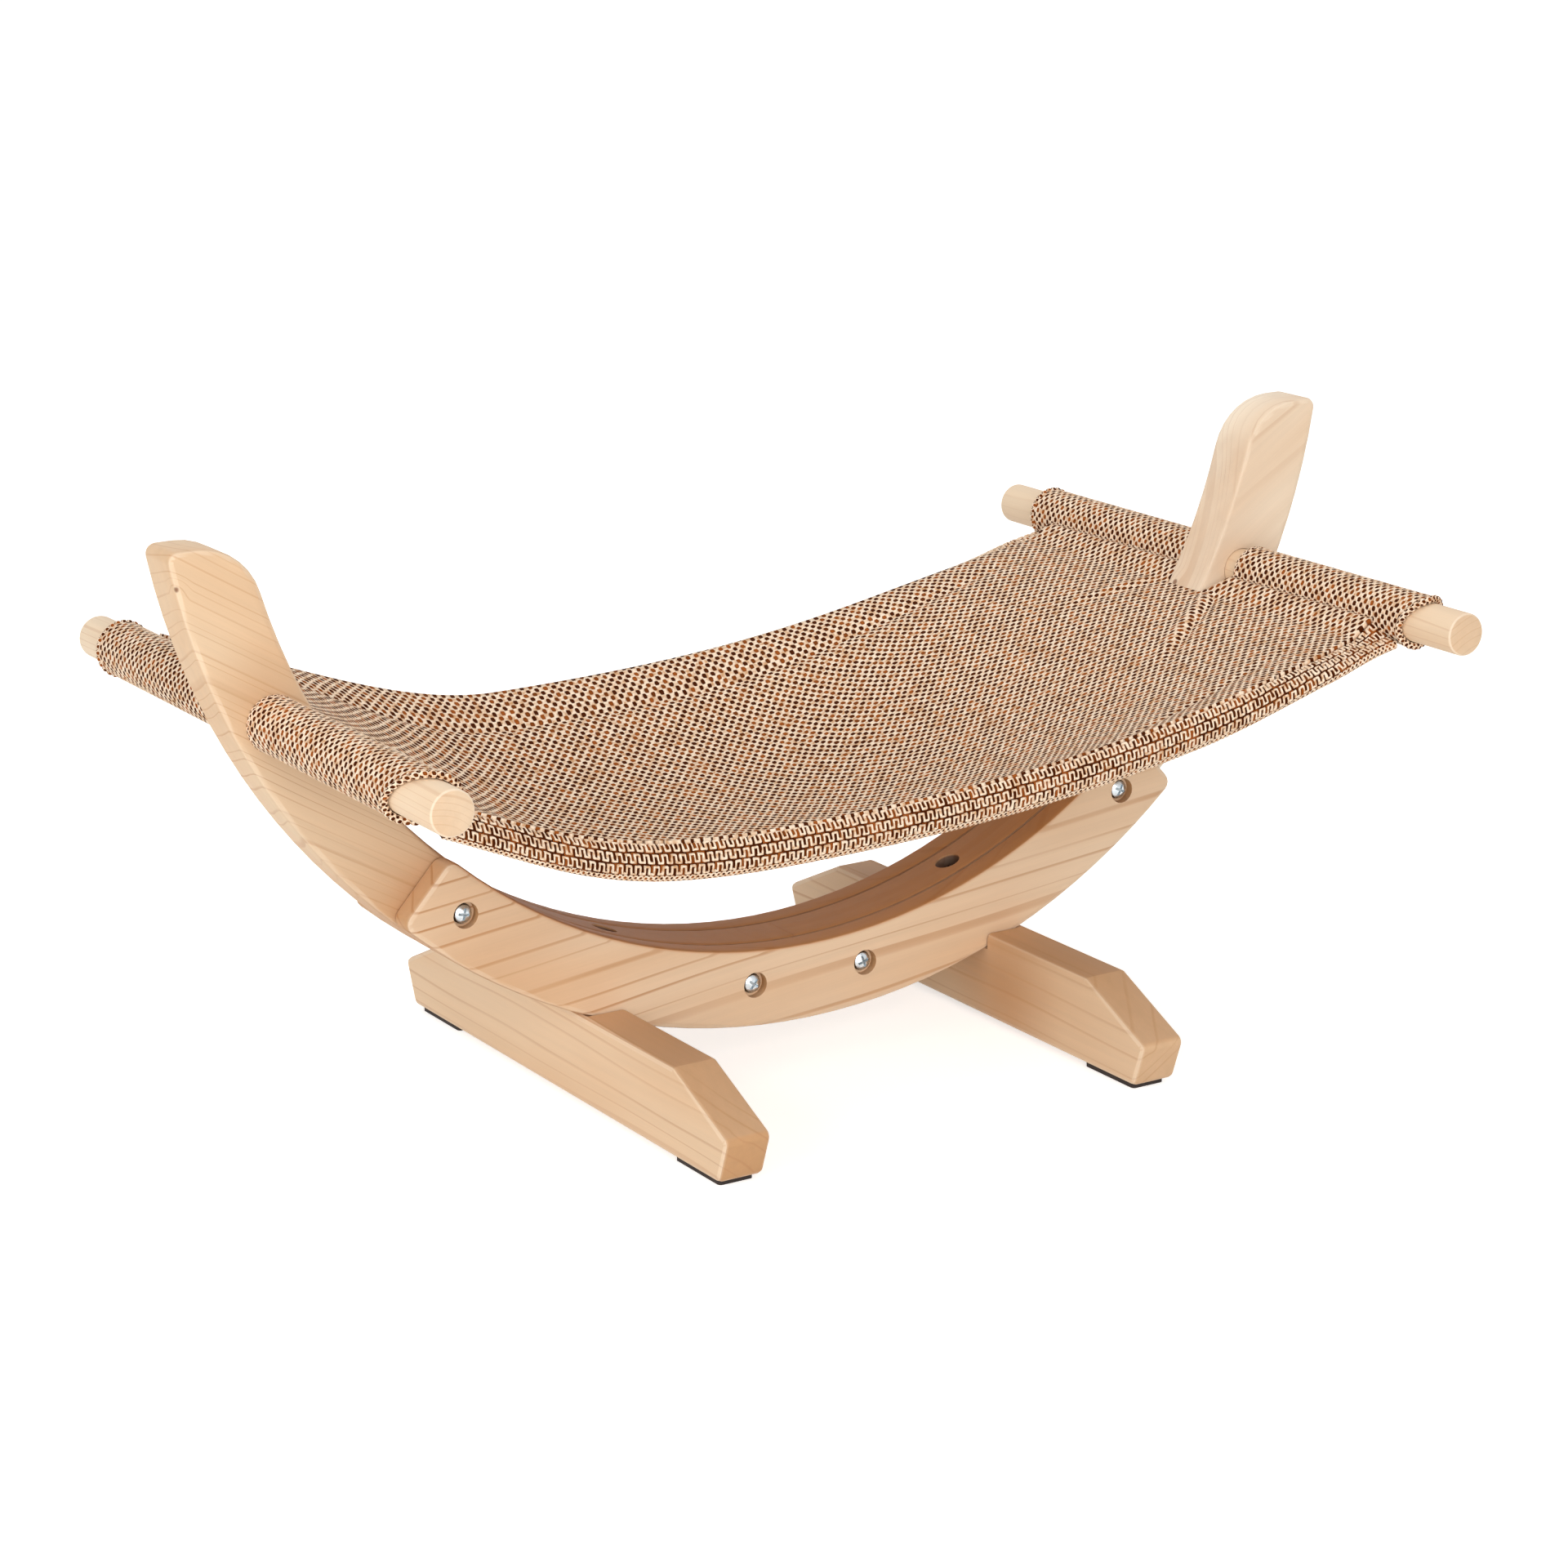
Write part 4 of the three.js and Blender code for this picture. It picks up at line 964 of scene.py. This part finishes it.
def seen_rays(add, *kinds):
    """One for the rays that the camera sends and for the other kinds that are named, zero for the rest."""
    path = add("LightPath")
    seen = path.outputs["Is Camera Ray"]
    for kind in kinds:
        seen = add("Math MAXIMUM", seen, path.outputs[f"Is {kind} Ray"])
    return seen


class HAMMOCK_OT_stage(bpy.types.Operator):
    """Set up the pale floor, the soft lights and the camera"""

    bl_idname = "hammock.stage"
    bl_label = "Studio"

    def execute(self, context):
        scene = context.scene
        scene.view_settings.view_transform = "Standard"

        edges = np.array([-FLOOR_HALF, FLOOR_HALF]) / MM
        corners = grid(edges, edges[:, None], 0)
        floor = patch_mesh("floor", [(corners, corners[..., :2])])
        material, shader, add = start_material("Matt studio floor")
        lift = add("Math MULTIPLY", seen_rays(add, "Glossy"), 0.6)
        fill(shader, {"Base Color": scene.hammock_colours.floor, "Roughness": 0.9,
                      "Emission Color": (1.0, 1.0, 1.0, 1.0), "Emission Strength": lift})
        floor.data.materials.append(material)

        world = bpy.data.worlds.new("Studio")
        scene.world = world
        world.use_nodes = True
        world.node_tree.nodes.clear()
        add = partial(add_node, world.node_tree)
        strength = add("MapRange", seen_rays(add, "Glossy", "Transmission"), 0.0, 1.0, 0.46, 1.0)
        sky = add("Background", Color=(1.0, 1.0, 1.0, 1.0), Strength=strength)
        add("OutputWorld", sky)

        for name, place, target, size, power in LAMPS:
            data = bpy.data.lights.new(name, "AREA")
            data.shape, data.size, data.energy = "SQUARE", size, power
            lamp = bpy.data.objects.new(name, data)
            scene.collection.objects.link(lamp)
            lamp.location = place
            lamp.rotation_mode = "QUATERNION"
            lamp.rotation_quaternion = (Vector((0, 0, target)) - Vector(place)).to_track_quat("-Z", "Y")

        data = bpy.data.cameras.new("Camera")
        data.lens, data.sensor_width = CAMERA_LENS, CAMERA_SENSOR
        camera = bpy.data.objects.new("Camera", data)
        scene.collection.objects.link(camera)
        # Rolled about its view line, tipped up until it looks down by its pitch only, and turned by its yaw
        turns = (CAMERA_YAW, "Z"), (math.pi / 2 - CAMERA_PITCH, "X"), (CAMERA_ROLL, "Z")
        yaw, tip, roll = (Matrix.Rotation(angle, 4, axis) for angle, axis in turns)
        camera.matrix_world = Matrix.Translation(CAMERA_PLACE) @ yaw @ tip @ roll
        scene.camera = camera
        return {"FINISHED"}


OPERATORS = (HAMMOCK_OT_boards, HAMMOCK_OT_dowels, HAMMOCK_OT_fittings, HAMMOCK_OT_sling, HAMMOCK_OT_stage)


class HAMMOCK_PT_panel(bpy.types.Panel):
    """Lists the sizes, the colours and the steps"""

    bl_idname = "HAMMOCK_PT_panel"
    bl_label = "Pet hammock"
    bl_space_type = "VIEW_3D"
    bl_region_type = "UI"
    bl_category = "Hammock"

    def draw(self, context):
        scene = context.scene
        for group in (scene.hammock_sizes, scene.hammock_colours):
            for name in group.__annotations__:
                self.layout.prop(group, name)
        for operator in OPERATORS:
            self.layout.operator(operator.bl_idname)


CLASSES = (HammockSizes, HammockColours, *OPERATORS, HAMMOCK_PT_panel)


def register():
    """Registers the classes and hangs the property groups on the scene."""
    for kind in CLASSES:
        bpy.utils.register_class(kind)
    bpy.types.Scene.hammock_sizes = bpy.props.PointerProperty(type=HammockSizes)
    bpy.types.Scene.hammock_colours = bpy.props.PointerProperty(type=HammockColours)


def unregister():
    """Takes the property groups and the classes away again."""
    del bpy.types.Scene.hammock_colours
    del bpy.types.Scene.hammock_sizes
    for kind in reversed(CLASSES):
        bpy.utils.unregister_class(kind)


def main():
    """Builds everything in order."""
    register()
    bpy.ops.hammock.boards()
    bpy.ops.hammock.dowels()
    bpy.ops.hammock.fittings()
    bpy.ops.hammock.sling()
    bpy.ops.hammock.stage()


if __name__ == "__main__":
    main()
